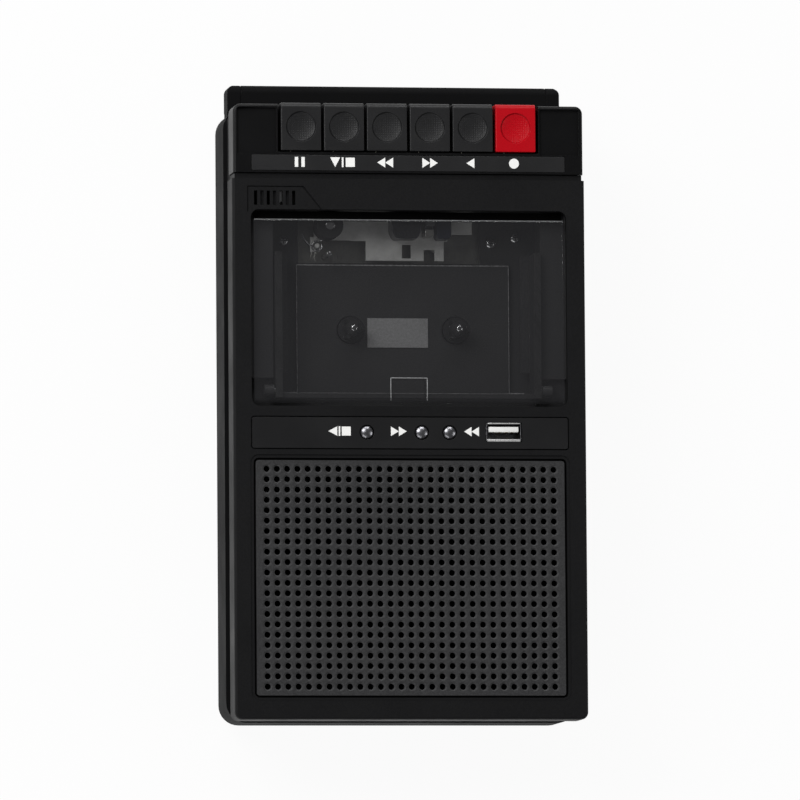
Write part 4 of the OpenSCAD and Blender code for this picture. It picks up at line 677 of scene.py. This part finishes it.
def dished(name, code, rough, first, pitch, contrast, shine):
    """Key plastic with a stepped round dish in each cap, dotted inside."""
    material = moulded(name, code, rough, grain_size=0.4 * mm, contrast=contrast, shine=shine)
    tree = material.node_tree
    shader = tree.nodes["Principled BSDF"]
    here = tree.nodes["Texture Coordinate"].outputs["Object"]
    away = ring_distance(tree, here, first, pitch, 1.0)
    inside = place(tree, "MapRange", {"Value": away, "From Min": dish_radius - dish_slope_in,
                                      "From Max": dish_radius + dish_slope_out},
                   interpolation_type="SMOOTHSTEP").outputs[0]
    dots = ring_distance(tree, here, first, dot_pitch, dot_pitch)
    dot = place(tree, "MapRange", {"Value": dots, "From Min": dot_radius, "From Max": dot_foot,
                                   "To Min": dot_rise, "To Max": 0.0}).outputs[0]
    clear = place(tree, "Math", {0: 1.0, 1: inside}, operation="SUBTRACT").outputs[0]
    dotted = place(tree, "Math", {0: dot, 1: clear}, operation="MULTIPLY").outputs[0]
    height = place(tree, "Math", {0: inside, 1: dotted}, operation="ADD").outputs[0]
    step = place(tree, "Bump", {"Height": height, "Distance": dish_deep, "Strength": 1.0,
                                "Normal": shader.inputs["Normal"].links[0].from_socket})
    tree.links.new(step.outputs[0], shader.inputs["Normal"])
    return material


key_low, key_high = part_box("pause_key")
key_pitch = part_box("stop_eject_key")[0][0] - key_low[0]
dish_at = ((key_low[0] + key_high[0]) / 2, key_high[1] - dish_in)
key_grey = dished("key grey", "#1d1d1e", 0.42, dish_at, key_pitch, contrast=0.25, shine=0.3)
key_red = dished("key red", "#b00514", 0.4, dish_at, key_pitch, contrast=0.08, shine=0.16)
dress(key_grey, "pause_key", "stop_eject_key", "rewind_key", "fast_forward_key", "play_key", edge=0.3 * mm)
dress(key_red, "record_key", edge=0.3 * mm)


# Cassette door: a smoked clear window on a black carrier that swings on two steel pins.
# Pale strips round the finger tab and a grey bead along the upper edge are painted highlight, and a near-black
# lip under the frame is painted shade in the gap.
haze_per_metre = 90.0


def smoked(name, code, clear):
    """Smoked plastic that lets a share of the light through, hazy in patches."""
    material, tree, shader, here = start_material(name)
    haze = use_group(tree, polish, {"Vector": here, "Size": haze_per_metre})
    gloss = place(tree, "MapRange", {"Value": haze["Mask"], "To Min": 0.03, "To Max": 0.12})
    tree.links.new(gloss.outputs[0], shader.inputs["Roughness"])
    shader.inputs["Base Color"].default_value = lit(linear(code), 1)
    shader.inputs["Alpha"].default_value = 1 - clear
    return material


dress(smoked("smoked window", "#343436", 0.74), "door_window", edge=0.25 * mm)
dress(well_black, "cassette_carrier", "door_hook", edge=0.25 * mm)
dress(bright_steel, "door_hinge_pins", edge=0.1 * mm)

window_low, window_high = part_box("door_window")
pane_thick, pane_gap, tab_deep, tab_ease = 2.5 * mm, 0.02 * mm, 0.5 * mm, 0.08 * mm
pane_under = window_high[2] - pane_thick
# Pale strips under the pane round the finger tab: painted highlight.
tab_highlight_paint = moulded("painted highlight pale", "#b9babb", 0.35, grain_size=0.7 * mm, contrast=0.35)
tab = bmesh.new()
tab_half, tab_long, tab_thin, tab_foot = 7.5 * mm, 10.4 * mm, 0.32 * mm, 1.2 * mm
tab_y = window_low[1]
eased_box(tab, (-tab_half, tab_y + tab_long - tab_thin, pane_under - tab_deep),
          (tab_half, tab_y + tab_long, pane_under - pane_gap), tab_ease)
for side in (-1, 1):
    inner, outer = sorted((side * (tab_half - tab_thin), side * tab_half))
    eased_box(tab, (inner, tab_y + tab_foot, pane_under - tab_deep),
              (outer, tab_y + tab_long, pane_under - pane_gap), tab_ease)
keep(tab, "door_tab_highlight", tab_highlight_paint, "cassette_door")
# A grey bead inside the pane along its upper edge: painted highlight.
top_edge = bmesh.new()
top_edge_in, top_edge_radius = 0.42 * mm, 0.3 * mm
top_edge_y, top_edge_z = window_high[1] - top_edge_in, window_high[2] - top_edge_in
top_edge_path = [(x * mm, top_edge_y, top_edge_z) for x in (-62.2, -40, 0, 40, 62.2)]
wire(top_edge, top_edge_path, top_edge_radius, sides=12)
top_highlight_paint = moulded("painted highlight grey", "#5e5f60", 0.35, grain_size=0.7 * mm, contrast=0.35)
keep(top_edge, "door_top_highlight", top_highlight_paint, "cassette_door", crease=60)
# A near-black lip that fills the gap between the pane and the frame: painted shade.
lip_far, lip_top, lip_thin = window_high[1] + 3.3 * mm, window_high[2] - 4.4 * mm, 0.7 * mm
lip_side, lip_wall, lip_ease = 0.4 * mm, 0.5 * mm, 0.1 * mm
lip_corner = (window_low[0] + lip_side, window_high[1] - lip_wall, lip_top - lip_thin)
door_gap_shade = bmesh.new()
for lip_end in ((window_high[1], pane_under - pane_gap), (lip_far, lip_top)):
    eased_box(door_gap_shade, lip_corner, (window_high[0] - lip_side, *lip_end), lip_ease)
keep(door_gap_shade, "door_gap_shade", shade_black_paint, "cassette_door")

# Carrying handle: a bar across the key end on two arms that slide into the case.
# It is moulded in the same black plastic as the rear case.
dress(case_black, "handle_grip", "handle_arms", edge=0.3 * mm)

# Studio: a pale floor under the recorder, soft lamps at its sides, and a long lens a little to the left of
# the face and below it.
floor_half, floor_white, studio_light = 6, 0.94, 0.12
floor_mesh = bmesh.new()
bmesh.ops.create_grid(floor_mesh, x_segments=1, y_segments=1, size=floor_half)
floor_data = bpy.data.meshes.new("floor")
floor_mesh.to_mesh(floor_data)
floor_mesh.free()
floor = bpy.data.objects.new("floor", floor_data)
bpy.context.scene.collection.objects.link(floor)
floor_paper, floor_tree, floor_shader = start_material("floor paper")[:3]
floor_shader.inputs["Base Color"].default_value = (0.8, 0.8, 0.8, 1)
floor_shader.inputs["Roughness"].default_value = 0.9
floor_shader.inputs["Specular IOR Level"].default_value = 0.0
floor_glow = place(floor_tree, "Emission", {"Strength": 1.0})
floor_rays = place(floor_tree, "LightPath", {}).outputs
floor_seen = place(floor_tree, "Math", {0: floor_rays["Is Camera Ray"], 1: floor_rays["Is Glossy Ray"]},
                   operation="MAXIMUM")
floor_seen = place(floor_tree, "Math", {0: floor_seen.outputs[0], 1: floor_rays["Is Transmission Ray"]},
                   operation="MAXIMUM")
floor_share = place(floor_tree, "Math", {0: floor_seen.outputs[0], 1: floor_white}, operation="MULTIPLY")
floor_mix = place(floor_tree, "MixShader", {0: floor_share.outputs[0], 1: floor_shader.outputs[0],
                                            2: floor_glow.outputs[0]})
floor_tree.links.new(floor_mix.outputs[0], floor_tree.nodes["Material Output"].inputs["Surface"])
floor_data.materials.append(floor_paper)

studio = bpy.data.worlds.new("studio")
studio.use_nodes = True
studio.node_tree.nodes["Background"].inputs["Color"].default_value = (1, 1, 1, 1)
studio.node_tree.nodes["Background"].inputs["Strength"].default_value = studio_light
bpy.context.scene.world = studio


lamps_aim = Vector((0, 0, 0.05))


def softbox(name, place_at, size, power):
    """A rectangular lamp that faces the recorder."""
    data = bpy.data.lights.new(name, "AREA")
    data.shape = "RECTANGLE"
    data.size, data.size_y = size
    data.energy = power
    lamp = bpy.data.objects.new(name, data)
    lamp.location = place_at
    lamp.rotation_euler = (lamps_aim - Vector(place_at)).to_track_quat("-Z", "Y").to_euler()
    bpy.context.scene.collection.objects.link(lamp)


softbox("left softbox", (-0.95, 0.75, 1.2), (0.9, 0.9), 19)
softbox("top softbox", (0.1, 1.4, 0.85), (1.2, 0.5), 11)
softbox("right softbox", (1.5, -0.3, 0.9), (0.7, 0.7), 5)
softbox("low softbox", (-0.8, -1.25, 0.75), (1.5, 1.1), 10)

lens_away = 4.0
seen_width = 318.5 * mm
face_height = 60 * mm
aim = Vector((-4.1 * mm, -1.3 * mm, face_height))
camera_side = Vector((-0.15, -0.08, 1)).normalized()
camera_roll = math.radians(-0.4)
camera_data = bpy.data.cameras.new("camera")
camera_data.sensor_width = 36
camera_data.lens = camera_data.sensor_width * lens_away / seen_width
camera_data.clip_end = 50
camera = bpy.data.objects.new("camera", camera_data)
across = Vector((0, 1, 0)).cross(camera_side).normalized()
upward = camera_side.cross(across)
turn = Matrix((across, upward, camera_side)).transposed()
camera.matrix_world = Matrix.Translation(aim + camera_side * lens_away) @ (
    turn @ Matrix.Rotation(camera_roll, 3, "Z")).to_4x4()
bpy.context.scene.collection.objects.link(camera)
bpy.context.scene.camera = camera
bpy.context.scene.view_settings.view_transform = "Standard"
